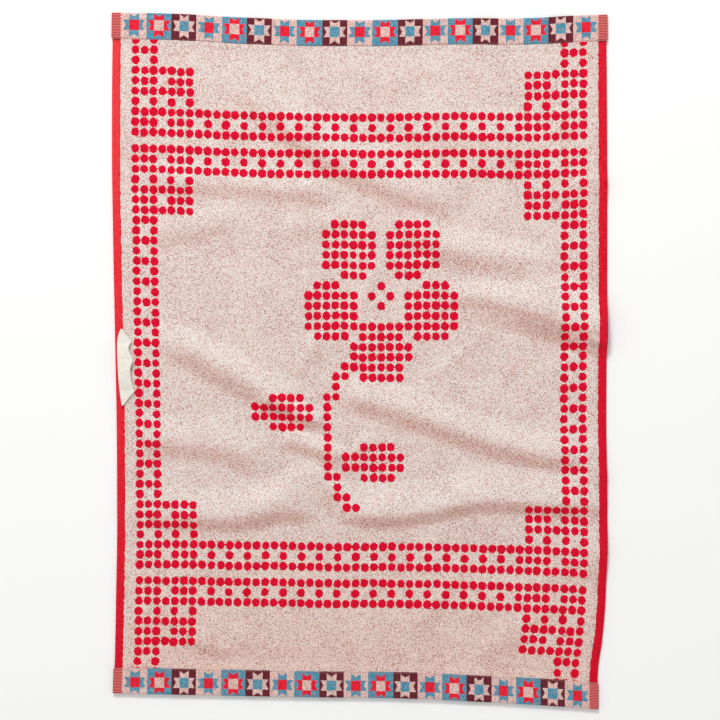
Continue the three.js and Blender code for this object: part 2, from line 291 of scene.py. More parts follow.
def ridge(x, y, rise, above, below, peak, hold, crest):
    """Height of one fold at the places x, y."""
    line = crest_line(crest)
    nearest = np.full(x.shape, np.inf)
    share = np.zeros(x.shape)
    is_above = np.ones(x.shape, bool)
    for i, (start, end) in enumerate(zip(line, line[1:])):
        run = end - start
        dx, dy = x - start[0], y - start[1]
        part = np.clip((dx * run[0] + dy * run[1]) / (run @ run), 0, 1)
        distance = np.hypot(dx - part * run[0], dy - part * run[1])
        closer = distance < nearest
        nearest = np.where(closer, distance, nearest)
        share = np.where(closer, (i + part) / CREST_STRETCHES, share)
        is_above = np.where(closer, run[0] * dy - run[1] * dx > 0, is_above)
    spread = np.where(is_above, above, below)
    rising = (peak - share) / peak
    falling = (share - peak) / max(1 - peak, 1e-9)
    reach = np.where(share < peak, rising, falling)
    lengthwise = smooth(np.clip((1 - reach) / (1 - hold), 0, 1))
    sideways = np.cos(np.pi / 2 * np.minimum(nearest / spread, 1)) ** 2
    return rise * lengthwise * sideways


def folds_height(x, y):
    """Height of all the folds and creases together."""
    height = np.zeros(x.shape)
    for row in WRINKLES.values():
        margin = max(row[1], row[2])
        xs, ys = np.array(row[5]).T
        near = (x > xs.min() - margin) & (x < xs.max() + margin)
        near &= (y > ys.min() - margin) & (y < ys.max() + margin)
        height[near] += ridge(x[near], y[near], *row)
    return height


across_grid, along_grid = np.meshgrid(column_lines, row_lines, indexing="ij")
flat_x, flat_y = laid_plan(across_grid, along_grid)
print(f"{len(FOLDS)} folds and {len(CREASES)} creases,",
      f"up to {folds_height(flat_x, flat_y).max():.1f} mm high")

# %% [markdown]
# ## Cloth bends but hardly stretches
#
# If the dots were simply spread evenly over the plan, those on a slope would be stretched.
# Walking up each column of the grid and measuring the length of cloth underfoot shows where
# each row really falls: the rows draw together on the slopes, as on the real towel. A hand
# that smooths the towel out also drags the cloth a few millimetres in its own plane, so the
# rows of dots are not quite straight. The drag is greatest half way up and fades out towards
# both ends.

# %% Lay the fine grid
DRAG_LEFT = 2.5
DRAG_DOWN_AT_LEFT = 2.5
DRAG_UP_AT_RIGHT = 1.0


def walked_rows(x, y):
    """The along of each grid point once equal lengths of cloth lie between the rows."""
    height = folds_height(x, y)
    steps = np.hypot(np.diff(y, axis=1), np.diff(height, axis=1))
    walked = np.cumsum(np.pad(steps, ((0, 0), (1, 0))), axis=1)
    share = (row_lines - row_lines[0]) / (row_lines[-1] - row_lines[0])
    return np.array([np.interp(share * column[-1], column, row_lines) for column in walked])


def dragged(across, along):
    """The place in the flat cloth that each point is dragged to."""
    u, v = across / CLOTH_WIDTH, along / CLOTH_LENGTH
    most = np.sin(np.pi * np.clip(v, 0, 1))
    up = DRAG_UP_AT_RIGHT * u - DRAG_DOWN_AT_LEFT * (1 - u)
    return across - DRAG_LEFT * 4 * u * (1 - u) * most, along + up * most


def soft_noise(shape, step, strength):
    """Gentle random unevenness, with a new value every `step` grid lines."""
    coarse = rng.uniform(-strength, strength, [n // step + 4 for n in shape])
    i, j = [np.arange(n) / step for n in shape]
    a, b = i.astype(int)[:, None], j.astype(int)[None, :]
    u, v = smooth(i - i.astype(int))[:, None], smooth(j - j.astype(int))[None, :]
    low = coarse[a, b] * (1 - v) + coarse[a, b + 1] * v
    high = coarse[a + 1, b] * (1 - v) + coarse[a + 1, b + 1] * v
    return low * (1 - u) + high * u


along_walked = walked_rows(flat_x, flat_y)
across_dragged, along_dragged = dragged(across_grid, along_walked)
laid_x, laid_y = laid_plan(across_dragged, along_dragged)
laid_z = folds_height(laid_x, laid_y)
# Slight hollows and swells, fading out where the hems and tapes hold the cloth flat.
EDGE_FADE = 30.0
# Columns: grid lines from one to the next, height.
SWELLS = [(11, 0.35), (5, 0.15)]
from_side = np.minimum(across_grid, CLOTH_WIDTH - across_grid)
from_end = np.minimum(along_walked, CLOTH_LENGTH - along_walked)
calm = smooth(np.clip((np.minimum(from_side, from_end) - EDGE_FADE) / EDGE_FADE, 0, 1))
swell = sum(soft_noise(laid_z.shape, step, height) for step, height in SWELLS)
laid_z += calm * np.maximum(swell + SWELLS[0][1], 0)
# The model is centred on the origin. Where its loop lies says how far to move the cloth.
LOOP_TIP = (-244.7, 32.4)
loop_low, loop_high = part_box("hang_loop")
shift_x = loop_low.x / MM - LOOP_TIP[0]
shift_y = loop_high.y / MM - LOOP_TIP[1]
laid_x += shift_x
laid_y += shift_y


def from_grid(tables, across, along):
    """Values of the grid's tables, in between its points, at places in the flat cloth."""
    i = np.clip(np.searchsorted(column_lines, across, side="right") - 1,
                0, len(column_lines) - 2)
    j = np.clip(np.searchsorted(row_lines, along, side="right") - 1, 0, len(row_lines) - 2)
    u = (across - column_lines[i]) / (column_lines[i + 1] - column_lines[i])
    v = (along - row_lines[j]) / (row_lines[j + 1] - row_lines[j])
    found = []
    for table in tables:
        near = table[i, j] * (1 - v) + table[i, j + 1] * v
        far = table[i + 1, j] * (1 - v) + table[i + 1, j + 1] * v
        found.append(near * (1 - u) + far * u)
    return found


def lay(across, along):
    """x, y and lift, in millimetres, of points of the flat cloth."""
    return from_grid((laid_x, laid_y, laid_z), across, along)


print(f"rows move by up to {np.abs(along_dragged - along_grid).max():.1f} mm")

# %% [markdown]
# ## One way to build every strip of cloth
#
# The towel, the tapes and the loop are all sheets with a face, a back and thin edges. Each
# starts as a block of square cells, one cell thick, made with a grid and an extrusion, with
# its corners at whole numbers. While it is still flat and square it is easy to say which cell
# is a dot and which a hem, and to unwrap it. Only then does a function carry each vertex to
# its place on the towel.

# %% Helpers for blocks of cells
def make_mesh(name, bm):
    """A mesh from a bmesh, which is let go."""
    mesh = bpy.data.meshes.new(name)
    bm.to_mesh(mesh)
    bm.free()
    return mesh


def make_object(name, data):
    """An object from its data, put in the scene."""
    made = bpy.data.objects.new(name, data)
    bpy.context.scene.collection.objects.link(made)
    return made


def cell_block(columns, rows):
    """A closed block of columns x rows x 1 cells, with its corners at whole numbers."""
    bm = bmesh.new()
    bmesh.ops.create_grid(bm, x_segments=columns, y_segments=rows, size=0.5)
    bmesh.ops.translate(bm, verts=bm.verts, vec=(0.5, 0.5, 0))
    bmesh.ops.scale(bm, verts=bm.verts, vec=(columns, rows, 1))
    raised = bmesh.ops.extrude_face_region(bm, geom=bm.faces[:], use_keep_orig=True)
    upper = [part for part in raised["geom"] if isinstance(part, bmesh.types.BMVert)]
    bmesh.ops.translate(bm, verts=upper, vec=(0, 0, 1))
    bmesh.ops.recalc_face_normals(bm, faces=bm.faces)
    return bm


def split_cells(bm, level, columns, rows):
    """Split the cells of the face (level 1) or the back (level 0) into columns x rows."""
    for axis, parts in ((0, columns), (1, rows)):
        edges = [
            edge for edge in bm.edges
            if edge.verts[0].co.z == level and edge.verts[1].co.z == level
            and abs(edge.verts[0].co[axis] - edge.verts[1].co[axis]) > 0.01
        ]
        bmesh.ops.subdivide_edges(bm, edges=edges, cuts=parts - 1, use_grid_fill=True)


class Sheet:
    """A block of cells as a mesh, with the flat place of every face corner."""

    def __init__(self, name, bm):
        self.mesh = mesh = make_mesh(name, bm)
        self.points = np.empty((len(mesh.vertices), 3), np.float32)
        mesh.vertices.foreach_get("co", self.points.ravel())
        corner_point = np.empty(len(mesh.loops), np.int32)
        mesh.loops.foreach_get("vertex_index", corner_point)
        self.corners = self.points[corner_point].astype(float)
        self.points = self.points.astype(float)
        counts = np.empty(len(mesh.polygons), np.int32)
        mesh.polygons.foreach_get("loop_total", counts)
        starts = np.append(0, np.cumsum(counts)[:-1])
        self.centres = np.add.reduceat(self.corners, starts) / counts[:, None]
        self.corner_face = np.repeat(np.arange(len(counts)), counts)

    def add_map(self, name, u, v):
        """Store a pair of numbers at every face corner."""
        layer = self.mesh.uv_layers.new(name=name)
        layer.data.foreach_set("uv", np.column_stack([u, v]).astype(np.float32).ravel())

    def add_bake_map(self, columns, rows, face_room, back_room, edge_room):
        """Unwrap the face, the back and the edges into rooms (u0, v0, u1, v1) of their own."""
        share = self.corners[:, :2] / (columns, rows)
        level = self.centres[self.corner_face, 2]
        rooms = np.where((level > 0.99)[:, None], face_room, back_room)
        place = rooms[:, :2] + share * (rooms[:, 2:] - rooms[:, :2])
        centre = self.centres[self.corner_face] / (columns, rows, 1)
        on_edge = (level > 0.01) & (level < 0.99)
        side = np.abs(centre[:, :2] - 0.5).argmax(axis=1)
        length = np.where(side == 0, share[:, 1], share[:, 0])
        far = centre[np.arange(len(centre)), side] > 0.5
        strip = 2 * side + far + 0.1 + 0.8 * self.corners[:, 2]
        u0, v0, u1, v1 = edge_room
        place[on_edge, 0] = (u0 + (u1 - u0) * length)[on_edge]
        place[on_edge, 1] = (v0 + (v1 - v0) * strip / 4)[on_edge]
        self.add_map("OFBake", place[:, 0], place[:, 1])

    def finish(self, positions, materials, face_material=None):
        """Carry the vertices to their places, given in millimetres, and make the object."""
        mesh = self.mesh
        placed = (np.column_stack(positions) * MM).astype(np.float32)
        mesh.vertices.foreach_set("co", placed.ravel())
        for material in materials:
            mesh.materials.append(material)
        if face_material is not None:
            mesh.polygons.foreach_set("material_index", face_material.astype(np.int32))
        mesh.shade_smooth()
        mesh.update()
        piece = make_object(mesh.name, mesh)
        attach(piece, "root")
        triangles = sum(len(face.vertices) - 2 for face in mesh.polygons)
        print(f"{mesh.name}: {triangles} triangles")
        return piece


print("helpers ready: cell_block, split_cells, Sheet")

# %% [markdown]
# ## Helpers for the materials
#
# Colours are written as the hex values a dyer would match by eye, which are sRGB, and turned
# into the linear values that light is added up in. One function adds a node with its settings
# and its links. A few shorter ones call it for the steps that come up most: arithmetic, waves,
# noise, colour ramps and mixes. So each material below reads as a list of steps.

# %% Colour and node helpers
def linear(hex_colour):
    """An sRGB hex colour as linear red, green, blue and alpha."""
    parts = [int(hex_colour[i:i + 2], 16) / 255 for i in (1, 3, 5)]
    return (*[p / 12.92 if p <= 0.04045 else ((p + 0.055) / 1.055) ** 2.4 for p in parts], 1)


def link(tree, value, socket):
    """Link a socket, or the first output of a node, to an input."""
    if isinstance(value, bpy.types.Node):
        value = next(s for s in value.outputs if s.enabled)
    tree.links.new(value, socket)


def add(tree, kind, inputs=None, stops=None, **settings):
    """Add a node. An input may be given a value, a socket or a node to link from."""
    node = tree.nodes.new(kind)
    for name, value in settings.items():
        setattr(node, name, value)
    for key, value in (inputs or {}).items():
        named = [s for s in node.inputs if s.enabled and s.name == key]
        socket = named[0] if named else node.inputs[key]
        if isinstance(value, (bpy.types.Node, bpy.types.NodeSocket)):
            link(tree, value, socket)
        else:
            socket.default_value = value
    if stops:
        elements = node.color_ramp.elements
        for position, _ in stops[2:]:
            elements.new(position)
        for element, (position, colour) in zip(elements, stops):
            element.position = position
            element.color = linear(colour)
    return node


def split(tree, value):
    """The x and y of a place."""
    parts = add(tree, "ShaderNodeSeparateXYZ", {"Vector": value}).outputs
    return parts["X"], parts["Y"]


def split_colour(tree, value):
    """The red, green and blue of a colour, which also serve as three random numbers."""
    parts = add(tree, "ShaderNodeSeparateColor", {"Color": value}).outputs
    return parts["Red"], parts["Green"], parts["Blue"]


def calc(tree, operation, *values):
    """One step of arithmetic on numbers."""
    return add(tree, "ShaderNodeMath", dict(enumerate(values)), operation=operation)


def calc_place(tree, operation, *values):
    """One step of arithmetic on places."""
    return add(tree, "ShaderNodeVectorMath", dict(enumerate(values)), operation=operation)


def rescale(tree, value, old, new, **settings):
    """A value carried from the range `old` to the range `new`."""
    inputs = {"Value": value, "From Min": old[0], "From Max": old[1],
              "To Min": new[0], "To Max": new[1]}
    return add(tree, "ShaderNodeMapRange", inputs, **settings)


def waves(tree, place, pitch):
    """A sine wave along a place, one wave in each pitch."""
    return calc(tree, "SINE", calc(tree, "MULTIPLY", place, math.tau / pitch))


def noise(tree, place, scale, detail):
    """Flat noise at a place."""
    return add(tree, "ShaderNodeTexNoise", noise_dimensions="2D",
               inputs={"Vector": place, "Scale": scale, "Detail": detail})


def ramp(tree, amount, stops):
    """The colour at an amount between (position, hex colour) stops."""
    return add(tree, "ShaderNodeValToRGB", {"Fac": amount}, stops)


def mix(tree, factor, first, second, blend="MIX"):
    """A mix of two colours."""
    return add(tree, "ShaderNodeMix", {"Factor": factor, "A": first, "B": second},
               data_type="RGBA", blend_type=blend)


def cotton(name, roughness=0.9):
    """A matt cotton shader to dress: its material, node tree and shader."""
    material = bpy.data.materials.new(name)
    material.use_nodes = True
    tree = material.node_tree
    shader = tree.nodes["Principled BSDF"]
    values = {"Roughness": roughness, "Specular IOR Level": 0.06,
              "Sheen Weight": 0.04, "Sheen Roughness": 0.6}
    for key, value in values.items():
        shader.inputs[key].default_value = value
    return material, tree, shader


def dress(tree, shader, colour, height, depth, strength):
    """Give a shader its colour and its relief."""
    bump = add(tree, "ShaderNodeBump", {"Strength": strength, "Distance": depth,
                                        "Height": height})
    link(tree, colour, shader.inputs["Base Color"])
    link(tree, bump, shader.inputs["Normal"])


print("cream", [round(value, 3) for value in linear("#F4DFD4")[:3]])

# %% [markdown]
# ## The woven figure
#
# Terry with a two-colour figure is woven on a Jacquard loom: at every place either the cream
# or the crimson loops stand up on the face, and the other colour stands up on the back. The
# figure is charted on squared paper, one square for each dot. The border repeats, so its chart
# is short: a band three dots deep, a corner block seven dots square, and a narrow side band.
# The flower is a plain regular one, worked out from its width. Its five petals are equal
# circles that just touch, 72 degrees apart round an open centre, with a petal straight down
# and a gap straight up. The stem is part of a parabola, and two equal leaves stand beside it,
# a third and two thirds of the way down.

# %% Chart of the border
BAND_AND_BLOCK = [
    "OOOOOOO",
    "OOO.OOO",
    "OOOOOOO",
    "O.O.O.O",
    "OOOOOOO",
    "OOO.OOO",
    "OOOOOOO",
]
BAND_DEPTH = 3
SIDE_BAND = ["OOO", "O.O"]


def border_dot(column, depth):
    """Is there a dot, `depth` rows in from the outer row of a band?"""
    from_edge = min(column, DOT_COLUMNS - 1 - column)
    if depth >= len(BAND_AND_BLOCK):
        return from_edge < 3 and SIDE_BAND[(depth + 1) % 2][from_edge] == "O"
    if from_edge < len(BAND_AND_BLOCK[0]):
        return BAND_AND_BLOCK[depth][from_edge] == "O"
    return depth < BAND_DEPTH and (depth != 1 or column % 2 == 0)


for depth in range(9):
    print("".join("O" if border_dot(column, depth) else "." for column in range(DOT_COLUMNS)))

# %% Formula of the flower
FLOWER_COLUMN = 27
FLOWER_ROW = 27
FLOWER_SPAN = 17
PETAL_STEP = math.tau / 5
FIRST_PETAL = -math.tau / 4
# Five circles that just touch their neighbours, and together are as wide as the flower.
PETAL_MIDDLE = FLOWER_SPAN / 2 / (math.sin(PETAL_STEP) + math.sin(PETAL_STEP / 2))
PETAL_RADIUS = PETAL_MIDDLE * math.sin(PETAL_STEP / 2)
GAP_START = 4.0
GAP_HALF_WIDTH = 0.5
CENTRE_RING = 2.5
STEM_LENGTH = 15.0
STEM_BOW = STEM_LENGTH / 5
STEM_TOP = -PETAL_MIDDLE - 1
STEM_HALF_WIDTH = 0.7
LEAF_HALF_LENGTH = 4.0
LEAF_HALF_WIDTH = LEAF_HALF_LENGTH / 2
LEAF_OFFSET = LEAF_HALF_LENGTH + 1
# Columns: side of the stem, share of the way down it.
LEAVES = [(-1, 1 / 3), (1, 2 / 3)]


def in_petals(across, up):
    """Is a square in one of the five petals, and not in a gap between two of them?"""
    radius = math.hypot(across, up)
    turn = math.atan2(up, across) - FIRST_PETAL
    turn = abs(turn - PETAL_STEP * round(turn / PETAL_STEP))
    out, side = radius * math.cos(turn), radius * math.sin(turn)
    in_circle = math.hypot(out - PETAL_MIDDLE, side) < PETAL_RADIUS
    in_gap = radius > GAP_START and radius * math.sin(PETAL_STEP / 2 - turn) < GAP_HALF_WIDTH
    return in_circle and radius > CENTRE_RING and not in_gap


def stem_across(share):
    """Where the stem stands, a share of the way down it."""
    return -PETAL_RADIUS - STEM_BOW * 4 * share * (1 - share)


def in_leaf(across, up, side, share):
    """Is a square in the pointed leaf on one side of the stem?"""
    middle = stem_across(share) + side * LEAF_OFFSET
    height = STEM_TOP - share * STEM_LENGTH
    taper = 1 - ((across - middle) / LEAF_HALF_LENGTH) ** 2
    return abs(up - height) < LEAF_HALF_WIDTH * taper


def flower_dot(across, up):
    """Is there a dot, so many squares across and up from the flower's middle?"""
    in_eye = abs(across) + abs(up) == 1
    share = (STEM_TOP - up) / STEM_LENGTH
    on_stem = 0 < share < 1 and abs(across - stem_across(share)) < STEM_HALF_WIDTH
    in_leaves = any(in_leaf(across, up, *leaf) for leaf in LEAVES)
    return in_eye or in_petals(across, up) or on_stem or in_leaves


for up in range(9, -22, -1):
    print("".join("O" if flower_dot(across, up) else "." for across in range(-15, 10)))

# %% The whole chart, one entry for each coarse cell of the cloth
has_dot = np.zeros((len(coarse_columns) - 1, len(coarse_rows) - 1), bool)
first_dot_column = 2
lower_block = 2
middle_block = lower_block + END_ROWS + 1
upper_block = middle_block + MIDDLE_ROWS + 1
for column in range(DOT_COLUMNS):
    i = first_dot_column + column
    for row in range(END_ROWS):
        has_dot[i, lower_block + END_ROWS - 1 - row] = border_dot(column, row)
        # The upper side bands start with a narrow row, the lower ones with a full one.
        side_row = row + 1 if row >= len(BAND_AND_BLOCK) else row
        has_dot[i, upper_block + row] = border_dot(column, side_row)
    for row in range(MIDDLE_ROWS):
        in_border = border_dot(column, min(row, MIDDLE_ROWS - 1 - row))
        if len(BAND_AND_BLOCK) <= row < MIDDLE_ROWS - len(BAND_AND_BLOCK):
            in_border = border_dot(column, len(BAND_AND_BLOCK) + row % 2)
        in_flower = flower_dot(column - FLOWER_COLUMN, row - FLOWER_ROW)
        has_dot[i, middle_block + row] = in_border or in_flower
print(f"{has_dot.sum()} dots")

# %% [markdown]
# ## The terry cloth
#
# The face of the cloth carries the figure and catches the light, so it gets the fine cells.
# The back lies on the table and keeps coarser ones. Tufts of pile stand a little higher and
# lower than each other, the crimson dots stand slightly proud, and the first row of tufts
# beside each flat hem leans out over it unevenly. All of that is small enough to be set vertex
# by vertex as the sheet is carried to its place.

# %% Cut and unwrap the terry sheet
BACK_PARTS = 2
DOT_JITTER = 0.2
DOT_SIZE_SPREAD = 0.035
NO_DOT = 99.0
last_column, last_row = len(coarse_columns) - 1, len(coarse_rows) - 1
block = cell_block(last_column, last_row)
split_cells(block, 1, FINE_COLUMNS, FINE_ROWS)
split_cells(block, 0, BACK_PARTS, BACK_PARTS)
terry = Sheet("terry_towel", block)

fine_columns = np.arange(len(column_lines)) / FINE_COLUMNS
fine_rows = np.arange(len(row_lines)) / FINE_ROWS


def flat_place(cells):
    """across and along, in millimetres, from places counted in coarse cells."""
    across = np.interp(cells[:, 0], fine_columns, column_lines)
    along = np.interp(cells[:, 1], fine_rows, row_lines)
    return across, along


corner_across, corner_along = flat_place(terry.corners)
terry.add_map("weave", corner_across, corner_along)

cell = np.minimum(terry.centres[:, :2].astype(int), (last_column - 1, last_row - 1))
cell_across, cell_along = cell[terry.corner_face].T
jitter = rng.normal(0, DOT_JITTER, (2, *has_dot.shape))
dot_size = 1 + rng.normal(0, DOT_SIZE_SPREAD, has_dot.shape)
middle_across = (coarse_columns[:-1] + coarse_columns[1:])[:, None] / 2 + jitter[0]
middle_along = (coarse_rows[:-1] + coarse_rows[1:])[None, :] / 2 + jitter[1]
in_dot_cell = has_dot[cell_across, cell_along]
size_there = dot_size[cell_across, cell_along]
dot_u = (corner_across - middle_across[cell_across, cell_along]) / size_there
dot_v = (corner_along - middle_along[cell_across, cell_along]) / size_there
terry.add_map("dot", np.where(in_dot_cell, dot_u, NO_DOT), np.where(in_dot_cell, dot_v, NO_DOT))
terry.add_bake_map(last_column, last_row, (0.0, 0.0, 0.74, 1.0), (0.75, 0.0, 1.0, 0.93),
                   (0.75, 0.95, 1.0, 0.99))
print(f"face cells {np.diff(column_lines).max():.2f} x {np.diff(row_lines).max():.2f} mm at most")

# %% Thickness, pile and relief of the cloth
TUFT_RELIEF = 0.1
CLUMP_RELIEF = 0.16
DOT_RISE = 0.3
DOT_REACH = 4.0
DOT_SHOULDER = 1.5
HEM_SCALLOP = 0.5
HEM_PUCKER = 0.2
PUCKER_LIFT = 4
CROWD_RISE = 0.9
CROWD_REACH = 9.0
CROWD_UNDER = 2.3
# Painted shade: its strength on flat cloth, and how fast it grows with the slope.
SHADE_TINT_FLAT = 0.3
SHADE_TINT_SLOPE = 1.75


def cloth_faces(across, along):
    """Underside and upper side of the cloth above the fold that lifts it."""
    side = np.minimum(across, CLOTH_WIDTH - across)
    end = np.minimum(along, CLOTH_LENGTH - along)
    pile = np.clip((side - HEM_WIDTH) / HEM_STEP, 0, 1)
    is_open = np.clip((end - TAPE_DEPTH - PRESSED_MARGIN) / PRESSED_STEP, 0, 1)
    turned = HEM_ROUND * np.clip(1 - side / HEM_ROUND, 0, 1)
    pressed = TAPE_THICKNESS + PIECE_GAP
    top = HEM_THICKNESS + (CLOTH_THICKNESS - HEM_THICKNESS) * pile - turned
    lower = pressed * (1 - is_open) + turned * is_open
    upper = (pressed + PRESSED_THICKNESS) * (1 - is_open) + top * is_open
    return lower, upper, pile, is_open


across, along = flat_place(terry.points)
on_face = terry.points[:, 2] > 0.5
# Tufts lean out over the inner edge of each hem.
from_hem = np.minimum(across, CLOTH_WIDTH - across) - HEM_WIDTH
beside_hem = on_face & (np.abs(from_hem) < 0.1)
lean = rng.uniform(-HEM_SCALLOP, HEM_SCALLOP, len(across))
across_leaning = across + np.where(beside_hem, lean, 0)
x, y, lift = lay(across_leaning, along)
(walked_along,) = from_grid([along_dragged], across, along)
lower, upper, pile, is_open = cloth_faces(across, walked_along)
tufts = rng.normal(0, TUFT_RELIEF, len(across))
clumps = soft_noise(laid_z.shape, 3, CLUMP_RELIEF)
fine_i = np.rint(terry.points[:, 0] * FINE_COLUMNS).astype(int)
fine_j = np.rint(terry.points[:, 1] * FINE_ROWS).astype(int)
point_cell = np.minimum(terry.points[:, :2].astype(int), (last_column - 1, last_row - 1))
from_dot = np.hypot(across - middle_across[point_cell[:, 0], point_cell[:, 1]],
                    along - middle_along[point_cell[:, 0], point_cell[:, 1]])
raised = DOT_RISE * smooth(np.clip((DOT_REACH - from_dot) / DOT_SHOULDER, 0, 1))
raised *= has_dot[point_cell[:, 0], point_cell[:, 1]]
# The loop presses the pile down where it is sewn on.
LOOP_MIDDLE = (-237.0, -6.4)
LOOP_CLEAR = (14.0, 48.0)
CLEAR_SHARPNESS = 3
# Against the edge of a tape the pile stands up nearly as high as the tape itself.
from_tape = np.minimum(walked_along, CLOTH_LENGTH - walked_along) - TAPE_DEPTH
crowded = CROWD_RISE * smooth(np.clip(1 - np.abs(from_tape) / CROWD_REACH, 0, 1))
crowded *= pile * (from_tape > -CROWD_UNDER)
# Where a fold lifts the side hem, its stitching puckers it.
puckers = soft_noise(laid_z.shape, 2, HEM_PUCKER)[fine_i, fine_j] * np.minimum(lift, PUCKER_LIFT)
puckers *= (1 - pile) * is_open
under_loop = np.hypot((x - LOOP_MIDDLE[0]) / LOOP_CLEAR[0], (y - LOOP_MIDDLE[1]) / LOOP_CLEAR[1])
free = np.clip((under_loop - 1) * CLEAR_SHARPNESS, 0, 1)
relief = pile * is_open * free * (tufts + clumps[fine_i, fine_j] + raised)
relief += crowded + puckers
z = lift + np.where(on_face, upper + relief, lower)
# Painted shade: a warm tint that grows where the cloth slopes down towards the bottom end,
# away from the key light, and fades where it slopes the other way.
slope = np.gradient(laid_z, axis=1) / np.gradient(laid_y, axis=1)
shade_tint_grid = np.clip(SHADE_TINT_FLAT + SHADE_TINT_SLOPE * slope, 0, 1)
(shade_tint,) = from_grid([shade_tint_grid], across, along)
shade_tint_layer = terry.mesh.attributes.new("shade_tint", "FLOAT", "POINT")
shade_tint_layer.data.foreach_set("value", np.where(on_face, shade_tint, SHADE_TINT_FLAT))
print(f"tufts stand {relief[on_face].min():.2f} to {relief.max():.2f} mm off the mean pile")

# %% [markdown]
# ### Looped pile in two colours
#
# Terry is warp yarn thrown up in loops and left uncut, so it looks like fine gravel: each loop
# is a small dome of one colour, and its foot is painted darker, partly the ground weave that
# shows between loops and partly painted shade. Slopes that face away from the key light get
# painted warm shade. A Voronoi texture gives one cell to each loop. Asking where the middle of
# the loop is, and not where the light falls, decides its colour, so every loop is wholly cream
# or wholly crimson and the dots get the same ragged rim of loops as the woven ones. A few loops
# of the other yarn show through the ground.

# %% Material: looped cotton terry
LOOP_PITCH = 0.88
LOOP_UNEVENNESS = 0.75
LOOP_HEIGHT = 0.00065
DOT_RADIUS = 4.24
DOT_SQUASH = (1.0, 0.94, 0.0)
CLOUD_SIZE = 38.0
CLOUD_RANGE = (0.35, 0.7)
CREAM_LOOPS = [(0.0, "#C49A8C"), (0.22, "#F4DBD0"), (0.5, "#FFF6EF"), (1.0, "#FFFFFC")]
# The foot of each loop: the ground weave between the loops, darkened with painted shade.
CREAM_FEET_AND_SHADE = [(0.0, "#AC706A"), (0.35, "#CCA69C"), (1.0, "#E2CABF")]
CRIMSON_LOOPS = [(0.0, "#DC0028"), (0.3, "#F40032"), (0.7, "#FF0438"), (1.0, "#FF1848")]
CRIMSON_FEET_AND_SHADE = [(0.0, "#A00020"), (1.0, "#C80028")]
STRAY_LOOPS = [(0.0, "#B06A6A"), (0.5, "#CC8E88"), (1.0, "#E0B2A8")]
STRAY_CHANCE = 0.03
# How many times the chance, from the thin clouds to the thick ones.
STRAY_SHARES = (0.5, 1.8)
FOOT_RANGE = (0.4, 0.66)
FOOT_SHADE_DEPTH = 0.9
# How the clouds change the tone at the foot of each loop: times this, plus that.
FOOT_CLOUDING = (-1.6, 0.85)
YARN_SCALE = 2.6
YARN_SHARE = 0.35
# The pinker tint of the pile near the bottom end: how far up it reaches, and its colour.
BOTTOM_TINT_END = 190.0
BOTTOM_TINT = "#FFF1EC"
# Painted warm shade: the tint on slopes that face the key light, on flat cloth, and on slopes
# that face away from it.
PAINTED_SHADE_TINTS = [(0.0, "#FFFFFF"), (SHADE_TINT_FLAT, "#FFFAF9"), (1.0, "#FFE8E3")]
# Painted shade: how much more often the darker stray loops show on slopes facing away from the
# key light.
PAINTED_SHADE_STRAYS = 0.08


